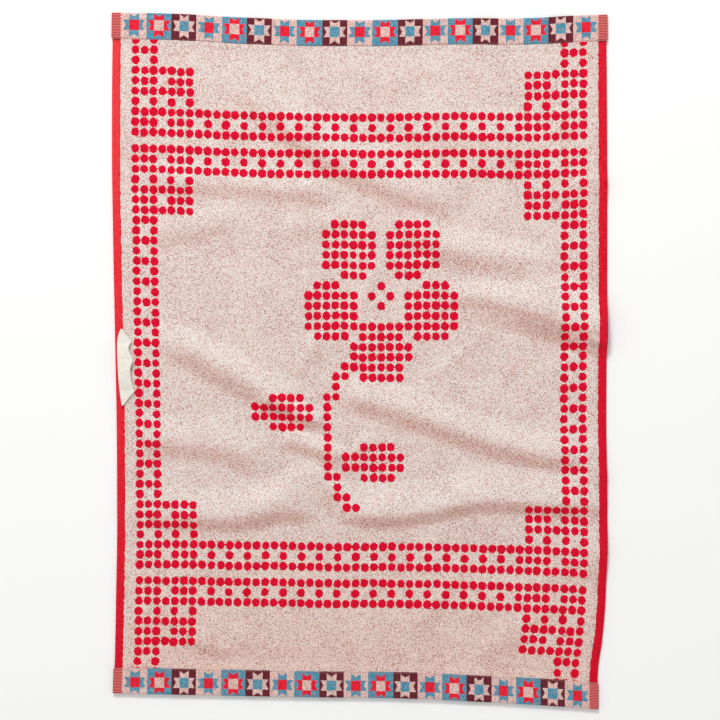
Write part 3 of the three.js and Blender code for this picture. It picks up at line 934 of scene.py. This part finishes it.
def looped_terry(name, ground, ground_feet_and_shade, figure, figure_feet_and_shade):
    """Looped pile whose loops stand up in the ground or in the figure colour."""
    material, tree, shader = cotton(name)
    weave = add(tree, "ShaderNodeUVMap", uv_map="weave")
    in_dot = add(tree, "ShaderNodeUVMap", uv_map="dot")
    loops = add(tree, "ShaderNodeTexVoronoi", voronoi_dimensions="2D", feature="F1",
                inputs={"Vector": weave, "Scale": 1 / LOOP_PITCH,
                        "Randomness": LOOP_UNEVENNESS})
    # Where the middle of this loop is, seen from the middle of the dot.
    to_loop = calc_place(tree, "SUBTRACT", loops.outputs["Position"], weave)
    place = calc_place(tree, "ADD", in_dot, to_loop)
    squashed = calc_place(tree, "MULTIPLY", place, DOT_SQUASH)
    distance = calc_place(tree, "LENGTH", squashed)
    is_figure = calc(tree, "LESS_THAN", distance, DOT_RADIUS)
    # Three random numbers for each loop: its tone, whether it is a stray, and its foot.
    tone, stray_draw, foot_draw = split_colour(tree, loops.outputs["Color"])
    clouds = noise(tree, weave, 1 / CLOUD_SIZE, 3.0)
    chance = rescale(tree, clouds, CLOUD_RANGE, [1 - n * STRAY_CHANCE for n in STRAY_SHARES])
    # Painted shade: the darker stray loops show more on slopes that face away from the key light.
    shade_tint = add(tree, "ShaderNodeAttribute", attribute_name="shade_tint").outputs["Fac"]
    limit = calc(tree, "MULTIPLY_ADD", shade_tint, -PAINTED_SHADE_STRAYS, chance)
    is_stray = calc(tree, "GREATER_THAN", stray_draw, limit)
    # In some clouds the foot colour shows more of the other yarn.
    clouded = calc(tree, "MULTIPLY_ADD", clouds, *FOOT_CLOUDING)
    foot_tone = calc(tree, "ADD", foot_draw, clouded)
    speckled = mix(tree, is_stray, ramp(tree, tone, ground), ramp(tree, tone, STRAY_LOOPS))
    heads = mix(tree, is_figure, speckled, ramp(tree, tone, figure))
    feet_and_shade = mix(tree, is_figure, ramp(tree, foot_tone, ground_feet_and_shade),
               ramp(tree, foot_draw, figure_feet_and_shade))
    # Painted shade at the foot of each loop, over the ground weave that shows there.
    foot_shade = rescale(tree, loops.outputs["Distance"], FOOT_RANGE, (0, FOOT_SHADE_DEPTH),
                      interpolation_type="SMOOTHSTEP")
    pile_colour = mix(tree, foot_shade, heads, feet_and_shade)
    # The pile is tinted pinker towards the bottom end.
    _, along_cloth = split(tree, weave)
    towards_bottom = rescale(tree, along_cloth, (0, BOTTOM_TINT_END), (1, 0))
    bottom_tinted = mix(tree, towards_bottom, pile_colour, linear(BOTTOM_TINT), "MULTIPLY")
    # Painted shade: slopes that face away from the key light are darkened and warmed.
    shade_tinted = mix(tree, 1.0, bottom_tinted, ramp(tree, shade_tint, PAINTED_SHADE_TINTS), "MULTIPLY")
    # Domes of the loops, with the twist of the yarn over them.
    yarn = noise(tree, weave, YARN_SCALE, 2.0)
    dome = calc(tree, "MULTIPLY_ADD", loops.outputs["Distance"], -1.0, 1.0)
    height = calc(tree, "MULTIPLY_ADD", yarn, YARN_SHARE, dome)
    dress(tree, shader, shade_tinted, height, LOOP_HEIGHT, 1.0)
    return material


terry_face = looped_terry("cotton terry, cream ground",
                          CREAM_LOOPS, CREAM_FEET_AND_SHADE, CRIMSON_LOOPS, CRIMSON_FEET_AND_SHADE)
terry_back = looped_terry("cotton terry, crimson ground",
                          CRIMSON_LOOPS, CRIMSON_FEET_AND_SHADE, CREAM_LOOPS, CREAM_FEET_AND_SHADE)
print(f"about {DOT_RADIUS**2 * math.pi / LOOP_PITCH**2:.0f} loops in each dot")

# %% [markdown]
# ### Flat woven side hems
#
# Along the two long sides the loom stops throwing up loops, and the plain red ground weave is
# turned under twice and stitched. It is a fine, dense rib with slightly uneven yarn, so it is
# smoother than the pile and lies a little lower.

# %% Material: plain woven hem
HEM_RIB = 0.85
HEM_RIB_HEIGHT = 0.00022
HEM_REDS = [(0.0, "#E0062A"), (0.2, "#E60A2C"), (0.4, "#F01A34"), (0.6, "#FA2E3E"),
            (1.0, "#FF4648")]
# Painted light: the share of the palest red at the right side and at the bottom end.
PAINTED_LIGHT_RIGHT = 0.4
PAINTED_LIGHT_BOTTOM = 0.2
SLUB_TONE = 1.3
SLUB_STREAK = (0.35, 1.3, 0.0)
SLUB_SCALE = 0.6
SLUB_HEIGHT = 3.0


def plain_hem(name):
    """Dense plain weave in red cotton."""
    material, tree, shader = cotton(name, roughness=0.8)
    weave = add(tree, "ShaderNodeUVMap", uv_map="weave")
    streaked = calc_place(tree, "MULTIPLY", weave, SLUB_STREAK)
    slubs = noise(tree, streaked, SLUB_SCALE, 4.0)
    # Painted light: the hem is paler along the left side and towards the top end, where the key
    # light comes from.
    across_cloth, along_cloth = split(tree, weave)
    to_right = rescale(tree, across_cloth, (0, CLOTH_WIDTH), (1, PAINTED_LIGHT_RIGHT))
    to_top = rescale(tree, along_cloth, (0, CLOTH_LENGTH), (PAINTED_LIGHT_BOTTOM, 1))
    painted_light = calc(tree, "MULTIPLY", to_right, to_top)
    # The slubs go as far above as below the painted light.
    lowered = calc(tree, "SUBTRACT", painted_light, SLUB_TONE / 2)
    tone = calc(tree, "MULTIPLY_ADD", slubs, SLUB_TONE, lowered)
    ribs = waves(tree, along_cloth, HEM_RIB)
    height = calc(tree, "MULTIPLY_ADD", slubs, SLUB_HEIGHT, ribs)
    dress(tree, shader, ramp(tree, tone, HEM_REDS), height, HEM_RIB_HEIGHT, 0.8)
    return material


hem_cloth = plain_hem("plain woven cotton hem")

# %% Finish the cloth
FACE, BACK, HEM = 0, 1, 2
in_hem = (terry.centres[:, 0] < 1) | (terry.centres[:, 0] > last_column - 1)
faces_up = terry.centres[:, 2] > 0.99
material_of = np.where(in_hem, HEM, np.where(faces_up, FACE, BACK))
towel = terry.finish((x, y, z), [terry_face, terry_back, hem_cloth], material_of)
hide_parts("terry_cloth")

# %% [markdown]
# ## The star tapes
#
# Each end is bound in a woven tape folded over it. The tape is figured in the loom with a row
# of quilt blocks: an eight-pointed star that quilters cut from squares and triangles, in three
# colourings that take turns. A sheet of cells is bent round the end of the cloth. Its map
# counts millimetres along the towel's edge and in from the fold, so the blocks can be worked
# out from their own sizes.

# %% Bend a tape round each end of the cloth
TAPE_STEP = 2.0
TAPE_LEG_PARTS = 12
TAPE_ARC_PARTS = 4
WALL_HALF = TAPE_HEIGHT / 2 - TAPE_ROUND
ARC_LENGTH = TAPE_ROUND * math.pi / 2
TAPE_HALF = WALL_HALF + ARC_LENGTH + TAPE_DEPTH - TAPE_ROUND
END_PINCH = 0.75
CORNER_RADIUS = 2.8
LIP_SOFTEN = 0.45
LIP_WIDTH = 0.5
LIP_LINE = 0.35
EDGE_WANDER = 0.3
TAPE_RIPPLE = 0.14
TAPE_LIFT = 0.1

leg_lines = np.linspace(TAPE_HALF, WALL_HALF + ARC_LENGTH, TAPE_LEG_PARTS + 1)
leg_lines = np.insert(leg_lines, 1, TAPE_HALF - LIP_LINE)
arc_lines = np.linspace(WALL_HALF + ARC_LENGTH, WALL_HALF, TAPE_ARC_PARTS + 1)[1:]
half_lines = np.concatenate([leg_lines, arc_lines])
bend_lines = np.concatenate([-half_lines, [0.0], half_lines[::-1]])
tape_parts = round((CLOTH_WIDTH + 2 * TAPE_OVERHANG) / TAPE_STEP)
station_lines = np.linspace(-TAPE_OVERHANG, CLOTH_WIDTH + TAPE_OVERHANG, tape_parts + 1)
near_end = np.array([-0.9, -0.4, 0.1])
station_lines = np.sort(np.concatenate([station_lines, near_end, CLOTH_WIDTH - near_end]))


def tape_section(bend, level):
    """Distance in from the towel's end, and height above its middle, round the fold."""
    reach, side = np.abs(bend), np.sign(bend)
    inner = TAPE_THICKNESS * (1 - level)
    angle = np.clip((reach - WALL_HALF) / ARC_LENGTH, 0, 1) * math.pi / 2
    leg = np.maximum(reach - WALL_HALF - ARC_LENGTH, 0)
    radius = TAPE_ROUND - inner
    inward = TAPE_ROUND - radius * np.cos(angle) + leg
    height = np.minimum(reach, WALL_HALF) + radius * np.sin(angle)
    return inward, side * height


def star_tape(name, end, inward, materials):
    """The tape over the end of the cloth that lies at `end`, its legs running `inward`."""
    columns, rows = len(station_lines) - 1, len(bend_lines) - 1
    tape = Sheet(name, cell_block(columns, rows))
    corner_across = np.interp(tape.corners[:, 0], np.arange(columns + 1), station_lines)
    corner_bend = np.interp(tape.corners[:, 1], np.arange(rows + 1), bend_lines)
    tape.add_map("tape", corner_across, corner_bend)
    tape.add_bake_map(columns, rows, (0.0, 0.0, 1.0, 0.62), (0.0, 0.64, 1.0, 0.9),
                      (0.0, 0.92, 1.0, 1.0))
    across = np.interp(tape.points[:, 0], np.arange(columns + 1), station_lines)
    bend = np.interp(tape.points[:, 1], np.arange(rows + 1), bend_lines)
    inward_place, height = tape_section(bend, tape.points[:, 2])
    # The two legs come together at the tape's ends, and its edges are soft.
    past_side = np.maximum(-across, across - CLOTH_WIDTH) / TAPE_OVERHANG
    pinch = 1 - END_PINCH * np.clip(past_side, 0, 1) ** 2
    from_side = np.minimum(across, CLOTH_WIDTH - across) + TAPE_OVERHANG
    short_of = np.clip(CORNER_RADIUS - from_side, 0, CORNER_RADIUS)
    corner_cut = CORNER_RADIUS - np.sqrt(CORNER_RADIUS**2 - short_of**2)
    lip = np.clip((np.abs(bend) - TAPE_HALF + LIP_WIDTH) / LIP_WIDTH, 0, 1)
    outer = tape.points[:, 2] > 0.5
    height = height * pinch - np.where(outer, np.sign(bend) * LIP_SOFTEN * lip, 0)
    wander = soft_noise((columns + 1, 2), 6, EDGE_WANDER)[tape.points[:, 0].astype(int), 0]
    inward_place = inward_place + (lip - 0.5) * wander * (inward_place > TAPE_ROUND)
    inward_place -= corner_cut * np.clip(inward_place - TAPE_ROUND, 0, None) / TAPE_DEPTH
    ripple = soft_noise((columns + 1, rows + 1), 4, TAPE_RIPPLE)
    i, j = tape.points[:, 0].astype(int), tape.points[:, 1].astype(int)
    height += np.where(bend > 0, ripple[i, j] + TAPE_LIFT, 0) * pinch
    x, y, lift = lay(across, end + inward * inward_place)
    z = lift + TAPE_HEIGHT / 2 + height
    piece = tape.finish((x, y, z), materials)
    return piece


print(f"tape {2 * TAPE_HALF:.1f} mm wide, {tape_parts} parts long")

# %% [markdown]
# ### Quilt stars in a woven tape
#
# Inside a block, the star is a centre square with four arms as wide as it, and a notch cut
# into the end of each arm. So it needs only the distances from the middle of the block. They
# are snapped to the thread count first, which gives slanting lines the tiny steps that weaving
# gives them. Three colour ramps with hard steps hold the three colourings.

# %% Material: figured tape
THREAD = (0.84, 0.8, 1.0)
BLOCKS = 19
BLOCK_WIDTH = (CLOTH_WIDTH - 2 * HEM_WIDTH) / BLOCKS
STAR_MIDDLE = 13.9
STAR_STRETCH = 1.09
CENTRE_HALF = 0.19
ARM_REACH = 0.437
NOTCH_DEPTH = 0.115
PINK, BLUE, RED, MAROON = "#EAC5BC", "#4799B4", "#F0243A", "#6E2833"
# Colourings A, B and C: ground, star, centre.
COLOURINGS = [(PINK, BLUE, RED), (BLUE, RED, PINK), (MAROON, PINK, BLUE)]
COLOURING_STOPS = (0.0, 0.3, 0.6)
SPECK = "#C89C98"
SPECK_CHANCE = 0.3
SPECK_SHARE = 0.42
THREAD_TONES = (0.6, 1.2)
RIB_PITCH = 1.6
RIB_TONES = [(0.0, "#98202C"), (0.5, "#C64048"), (1.0, "#F49288")]
SCALLOP = 0.6
# Yarns with less green than this are packed too close for the binding thread to show.
OPEN_GREEN = 0.1
FINE_RIB_PITCH = 1.1
FINE_GRAIN = 1.2
RIB_DEPTH = 2.0
TAPE_RELIEF = 0.00015


def star_masks(tree, blocks, depth):
    """Whether a place is in a block's star, and whether it is in its centre square."""
    # Distances from the middle of the block, as shares of its width.
    sideways = calc(tree, "SUBTRACT", calc(tree, "FRACT", blocks), 0.5)
    beside = calc(tree, "ABSOLUTE", sideways)
    lengthways = calc(tree, "SUBTRACT", depth, STAR_MIDDLE)
    share = calc(tree, "DIVIDE", lengthways, BLOCK_WIDTH * STAR_STRETCH)
    above = calc(tree, "ABSOLUTE", share)
    farther = calc(tree, "MAXIMUM", beside, above)
    nearer = calc(tree, "MINIMUM", beside, above)
    is_centre = calc(tree, "LESS_THAN", farther, CENTRE_HALF)
    is_narrow = calc(tree, "LESS_THAN", nearer, CENTRE_HALF)
    arm_end = calc(tree, "MULTIPLY_ADD", nearer, NOTCH_DEPTH / CENTRE_HALF,
                   ARM_REACH - NOTCH_DEPTH)
    is_short = calc(tree, "LESS_THAN", farther, arm_end)
    return calc(tree, "MULTIPLY", is_narrow, is_short), is_centre


def figured_tape(name):
    """Woven tape with a row of star blocks and plain ribbed ends."""
    material, tree, shader = cotton(name, roughness=0.75)
    flat = add(tree, "ShaderNodeUVMap", uv_map="tape")
    threads = calc_place(tree, "SNAP", flat, THREAD)
    thread_x, thread_y = split(tree, threads)
    # Blocks counted from the left hem's inner edge.
    count = calc(tree, "SUBTRACT", thread_x, HEM_WIDTH)
    blocks = calc(tree, "DIVIDE", count, BLOCK_WIDTH)
    turn = calc(tree, "MODULO", calc(tree, "FLOOR", blocks), 3.0)
    colouring = calc(tree, "DIVIDE", turn, 3.0)
    depth = calc(tree, "ABSOLUTE", thread_y)
    is_star, is_centre = star_masks(tree, blocks, depth)
    # A yarn in three colours at each place, one for each colouring.
    grounds, stars, centres = [
        ramp(tree, colouring, list(zip(COLOURING_STOPS, trio))) for trio in zip(*COLOURINGS)
    ]
    for yarn in (grounds, stars, centres):
        yarn.color_ramp.interpolation = "CONSTANT"
    figured = mix(tree, is_centre, mix(tree, is_star, grounds, stars), centres)
    # Here and there the binding thread shows between the others. It hides in the red and
    # in the maroon, which are packed closer.
    random = add(tree, "ShaderNodeTexWhiteNoise", {"Vector": threads},
                 noise_dimensions="2D")
    speck_draw, tone_draw, grain_draw = split_colour(tree, random.outputs["Color"])
    is_speck = calc(tree, "LESS_THAN", speck_draw, SPECK_CHANCE)
    _, green, _ = split_colour(tree, figured)
    is_open = calc(tree, "GREATER_THAN", green, OPEN_GREEN)
    shows = calc(tree, "MULTIPLY", is_speck, is_open)
    half_speck = calc(tree, "MULTIPLY", shows, SPECK_SHARE)
    specked = mix(tree, half_speck, figured, linear(SPECK))
    tones = rescale(tree, tone_draw, (0, 1), THREAD_TONES)
    toned = mix(tree, 1.0, specked, tones, "MULTIPLY")
    # Ribbed ends, with a scalloped row of stitches where the blocks begin.
    tape_x, tape_y = split(tree, flat)
    ribs = waves(tree, tape_y, RIB_PITCH)
    rib_colour = ramp(tree, rescale(tree, ribs, (-1, 1), (0, 1)), RIB_TONES)
    from_middle = calc(tree, "SUBTRACT", tape_x, CLOTH_WIDTH / 2)
    outwards = calc(tree, "ABSOLUTE", from_middle)
    bays = waves(tree, tape_y, 2 * RIB_PITCH)
    scalloped = calc(tree, "MULTIPLY_ADD", bays, SCALLOP, outwards)
    is_end = calc(tree, "GREATER_THAN", scalloped, CLOTH_WIDTH / 2 - HEM_WIDTH)
    whole = mix(tree, is_end, toned, rib_colour)
    # Fine ribs everywhere, deeper on the ends.
    fine_ribs = waves(tree, tape_x, FINE_RIB_PITCH)
    grain = calc(tree, "MULTIPLY_ADD", grain_draw, FINE_GRAIN, fine_ribs)
    deep = calc(tree, "MULTIPLY", ribs, RIB_DEPTH)
    relief = add(tree, "ShaderNodeMix", {"Factor": is_end, "A": grain, "B": deep},
                 data_type="FLOAT")
    dress(tree, shader, whole, relief, TAPE_RELIEF, 0.6)
    return material


tape_cloth = figured_tape("figured cotton tape")
border_bottom = star_tape("star_tape_bottom", 0.0, 1, [tape_cloth])
border_top = star_tape("star_tape_top", CLOTH_LENGTH, -1, [tape_cloth])
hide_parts("star_border_bottom")
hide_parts("star_border_top")
print(f"{BLOCKS} blocks of {BLOCK_WIDTH:.2f} mm")

# %% [markdown]
# ## The hanging loop
#
# A short length of ivory cotton tape is folded into a loop and caught under the left hem by
# its two mitred ends. Between them it arches clear of the cloth, so that a hook can pass
# under it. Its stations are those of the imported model, and smooth lines run through them, so
# the edges become the soft scallops of limp tape. The model's arch is stiff and high. Limp
# tape lies lower, so the dressed loop keeps only a share of that height.

# %% Shape the loop from its stations
LOOP_THICKNESS = 1.0
LOOP_SEAT = CLOTH_THICKNESS + PIECE_GAP
# Columns: y, left edge, right edge, lift of the underside.
LOOP_STATIONS = [
    (32.4, -241.2, -240.0, 0.0), (27.0, -243.4, -236.2, 0.0), (19.7, -244.7, -230.4, 0.0),
    (17.5, -244.7, -231.4, 1.3), (10.5, -244.6, -232.9, 4.2), (1.0, -244.2, -229.0, 5.2),
    (-6.5, -243.9, -231.0, 5.5), (-14.2, -243.5, -231.0, 5.2), (-21.5, -243.0, -229.8, 4.2),
    (-28.4, -242.5, -228.0, 1.3), (-30.6, -242.3, -227.4, 0.0), (-38.5, -241.2, -233.8, 0.0),
    (-45.2, -240.1, -238.9, 0.0),
]
# The tape is doubled at its ends. Columns: number of the station, thicknesses of tape.
LOOP_LAYERS = [(0, 2), (2, 2), (4, 1), (8, 1), (10, 2), (12, 2)]
# The share of the model's arch that limp tape keeps.
LOOP_SAG = 0.6
LOOP_PARTS = 6
LOOP_EDGE_LINES = [0.0, 0.03, 0.1, 0.22, 0.36, 0.5, 0.64, 0.78, 0.9, 0.97, 1.0]
LOOP_EDGE_SOFTEN = 0.3
LOOP_EDGE_SHARE = 0.1
CREASE_AT = 1.0
CREASE_DEPTH = 0.35
CREASE_REACH = 2.2

stations = np.array(LOOP_STATIONS, float)
columns, rows = len(LOOP_EDGE_LINES) - 1, LOOP_PARTS * (len(stations) - 1)
tape = Sheet("hanging_loop", cell_block(columns, rows))


def loop_place(cells):
    """Share across the tape, and the station's values, from places counted in cells."""
    share = np.interp(cells[:, 0], np.arange(columns + 1), LOOP_EDGE_LINES)
    at = cells[:, 1] / LOOP_PARTS
    order = np.arange(len(stations))
    smooth_values = [smooth_line(np.column_stack([order, values]))(at)
                     for values in stations.T]
    smooth_values[3] = LOOP_SAG * np.maximum(smooth_values[3], 0)
    layers = np.interp(at, *np.array(LOOP_LAYERS, float).T)
    return share, [*smooth_values, layers]


corner_share, (corner_y, corner_left, corner_right, _, _) = loop_place(tape.corners)
tape.add_map("tape", corner_left + corner_share * (corner_right - corner_left), corner_y)
tape.add_bake_map(columns, rows, (0.0, 0.0, 0.4, 1.0), (0.42, 0.0, 0.8, 1.0),
                  (0.82, 0.0, 1.0, 1.0))
share, (loop_y, loop_left, loop_right, loop_lift, layers) = loop_place(tape.points)
crown = 4 * share * (1 - share)
crease = CREASE_DEPTH * np.exp(-((loop_y - CREASE_AT) / CREASE_REACH) ** 2)
at_edge = np.clip(1 - np.minimum(share, 1 - share) / LOOP_EDGE_SHARE, 0, 1)
soften = LOOP_EDGE_SOFTEN * at_edge**2
upper = LOOP_SEAT + loop_lift + layers * LOOP_THICKNESS - soften - crease * crown
lower = LOOP_SEAT + loop_lift
loop_x = loop_left + share * (loop_right - loop_left) + shift_x
loop_z = np.where(tape.points[:, 2] > 0.5, upper, lower)
print(f"loop stands up to {loop_z.max():.1f} mm above the table")

# %% Material: ivory twill tape
TWILL_PITCH = 1.2
TWILL_SHADE = 0.12
TWILL_RELIEF = 0.0001
SOIL_SCALE = 0.22
IVORY = [(0.0, "#DDD5C6"), (0.5, "#EAE5DA"), (1.0, "#F3EFE7")]


def twill_tape(name):
    """Undyed cotton tape woven in a fine diagonal twill."""
    material, tree, shader = cotton(name, roughness=0.7)
    flat = add(tree, "ShaderNodeUVMap", uv_map="tape")
    diagonal = calc(tree, "ADD", *split(tree, flat))
    lines = waves(tree, diagonal, TWILL_PITCH)
    soil = noise(tree, flat, SOIL_SCALE, 4.0)
    # Painted shade in the twill's diagonal grooves, over random tone.
    tone = calc(tree, "MULTIPLY_ADD", lines, TWILL_SHADE, soil)
    dress(tree, shader, ramp(tree, tone, IVORY), lines, TWILL_RELIEF, 0.5)
    return material


loop_cloth = twill_tape("ivory cotton twill tape")
loop = tape.finish((loop_x, loop_y + shift_y, loop_z), [loop_cloth])
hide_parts("hang_loop")

# %% [markdown]
# ## Sewing thread
#
# A lockstitch shows as a row of short slanted grains of thread, each sinking into the cloth at
# both ends. One stretched ball with a few dozen faces does for a stitch. It is repeated along
# the inner edge of each tape and each side hem, and the stitches of a seam are joined into
# one piece.

# %% Sew the seams
STITCH_SHARE = 0.72
THREAD_RADIUS = 0.3
THREAD_HEIGHT = 0.22
TWIST_SHADE_SCALE = 1400.0


def sew(name, points, material):
    """A row of stitches, one in each space between the points, as one piece."""
    bm = bmesh.new()
    for start, end in zip(points, points[1:]):
        run = Vector(end) - Vector(start)
        middle = (Vector(start) + Vector(end)) / 2
        turn = run.to_track_quat("X", "Z").to_matrix().to_4x4()
        size = (run.length * STITCH_SHARE / 2, THREAD_RADIUS, THREAD_HEIGHT)
        matrix = Matrix.Translation(middle) @ turn @ Matrix.Diagonal((*size, 1))
        bmesh.ops.create_uvsphere(bm, u_segments=6, v_segments=5, radius=1, matrix=matrix)
    bmesh.ops.scale(bm, verts=bm.verts, vec=(MM, MM, MM))
    mesh = make_mesh(name, bm)
    mesh.materials.append(material)
    mesh.shade_smooth()
    seam = make_object(name, mesh)
    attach(seam, "root")
    print(f"{name}: {len(points) - 1} stitches")
    return seam


def cotton_thread(name, dark, light):
    """Two-ply sewing thread: painted shade of its twist, as small patches of darker and lighter
    tone.
    """
    material, tree, shader = cotton(name, roughness=0.6)
    place = add(tree, "ShaderNodeTexCoord")
    twist_shade = add(tree, "ShaderNodeTexNoise",
                {"Vector": place.outputs["Object"], "Scale": TWIST_SHADE_SCALE, "Detail": 1.0})
    tone = ramp(tree, twist_shade.outputs["Fac"], [(0.35, dark), (0.65, light)])
    link(tree, tone, shader.inputs["Base Color"])
    return material


red_thread = cotton_thread("red cotton thread", "#A8202E", "#DA3A48")
rose_thread = cotton_thread("dusty rose cotton thread", "#8E6468", "#B98F8E")
SEAM_STITCH = 3.2
TAPE_SEAM_IN = 0.9
TAPE_SEAM_START = 0.5
TAPE_SEAM_LIFT = 0.1
HEM_SEAM_IN = 1.0
HEM_SEAM_CLEAR = 2
HEM_SEAM_LIFT = 0.05


def tape_seam(end, inward):
    """Points of the seam along the inner edge of a tape's upper leg."""
    count = round(CLOTH_WIDTH / SEAM_STITCH)
    across = np.linspace(TAPE_SEAM_START, CLOTH_WIDTH - TAPE_SEAM_START, count + 1)
    along = np.full(across.shape, end + inward * (TAPE_DEPTH - TAPE_SEAM_IN))
    x, y, lift = lay(across, along)
    return np.column_stack([x, y, lift + TAPE_HEIGHT + TAPE_SEAM_LIFT])


def hem_seam(across_at):
    """Points of the seam along a side hem, just outside the pile."""
    start = TAPE_DEPTH + HEM_SEAM_CLEAR
    ends = (start, CLOTH_LENGTH - start)
    count = round((ends[1] - ends[0]) / SEAM_STITCH)
    along = np.linspace(*ends, count + 1)
    x, y, lift = lay(np.full(along.shape, across_at), along)
    return np.column_stack([x, y, lift + HEM_THICKNESS + HEM_SEAM_LIFT])


seams = [
    sew("seam_tape_bottom", tape_seam(0.0, 1), rose_thread),
    sew("seam_tape_top", tape_seam(CLOTH_LENGTH, -1), rose_thread),
    sew("seam_hem_left", hem_seam(HEM_WIDTH - HEM_SEAM_IN), red_thread),
    sew("seam_hem_right", hem_seam(CLOTH_WIDTH - HEM_WIDTH + HEM_SEAM_IN), red_thread),
]

# %% [markdown]
# ## What kind of cloth each piece is
#
# The towel was woven 500 mm by 700 mm, each tape was cut to the towel's width and its own
# full width before it was folded, and the loop is a short piece of narrow tape.

print("one towel, two tapes, one loop")

# %% [markdown]
# ## Table, light and camera
#
# The towel lies on a plain pale table under soft studio light. A broad key light comes from
# beyond the top edge, about halfway up the sky, so that each fold is bright on its far side
# and shaded on its near one. The pale world fills the shadows. The camera hangs straight
# above the middle, far enough off to flatten the view, as a product camera does.

# %% Table
TABLE_HALF = 6.0
TABLE_DROP = 0.0004
bm = bmesh.new()
bmesh.ops.create_grid(bm, x_segments=1, y_segments=1, size=TABLE_HALF)
bmesh.ops.translate(bm, verts=bm.verts, vec=(0, 0, -TABLE_DROP))
table = make_object("table", make_mesh("table", bm))
table_paint = bpy.data.materials.new("matt white paint")
table_paint.use_nodes = True
paint = table_paint.node_tree.nodes["Principled BSDF"]
paint.inputs["Base Color"].default_value = linear("#F7F7F6")
paint.inputs["Roughness"].default_value = 0.9
table.data.materials.append(table_paint)
print(f"table {2 * TABLE_HALF:.0f} m square")

# %% Light
KEY_ELEVATION = math.radians(42)
KEY_SIDE = math.radians(15)
KEY_DISTANCE = 3.3
KEY_SIZE = 0.95
KEY_BRIGHTNESS = 1.9
FILL_STRENGTH = 0.65
key = bpy.data.lights.new("key_light", "AREA")
key.shape = "DISK"
key.size = KEY_SIZE
# A flat lamp's brightness at the towel is its power over pi times the distance squared.
key.energy = KEY_BRIGHTNESS * math.pi * KEY_DISTANCE**2
key_object = make_object("key_light", key)
key_object.rotation_euler = (KEY_ELEVATION - math.pi / 2, 0, KEY_SIDE)
level_distance = KEY_DISTANCE * math.cos(KEY_ELEVATION)
key_object.location = (-level_distance * math.sin(KEY_SIDE),
                       level_distance * math.cos(KEY_SIDE),
                       KEY_DISTANCE * math.sin(KEY_ELEVATION))
world = bpy.data.worlds.new("pale studio")
world.use_nodes = True
sky = world.node_tree.nodes["Background"]
sky.inputs["Color"].default_value = (1, 1, 1, 1)
sky.inputs["Strength"].default_value = FILL_STRENGTH
bpy.context.scene.world = world
bpy.context.scene.view_settings.view_transform = "Standard"
print(f"key light {math.degrees(KEY_ELEVATION):.0f} degrees up")

# %% Camera
LENS = 85.0
SENSOR = 36.0
FRAME_WIDTH = 0.729
CAMERA_MIDDLE = (0.0005, 0.001)
camera = bpy.data.cameras.new("camera")
camera.lens = LENS
camera.sensor_width = SENSOR
camera.clip_end = 50
camera_object = make_object("camera", camera)
distance = FRAME_WIDTH * LENS / SENSOR
camera_object.location = (*CAMERA_MIDDLE, distance)
bpy.context.scene.camera = camera_object
print(f"camera {distance:.2f} m above the table")
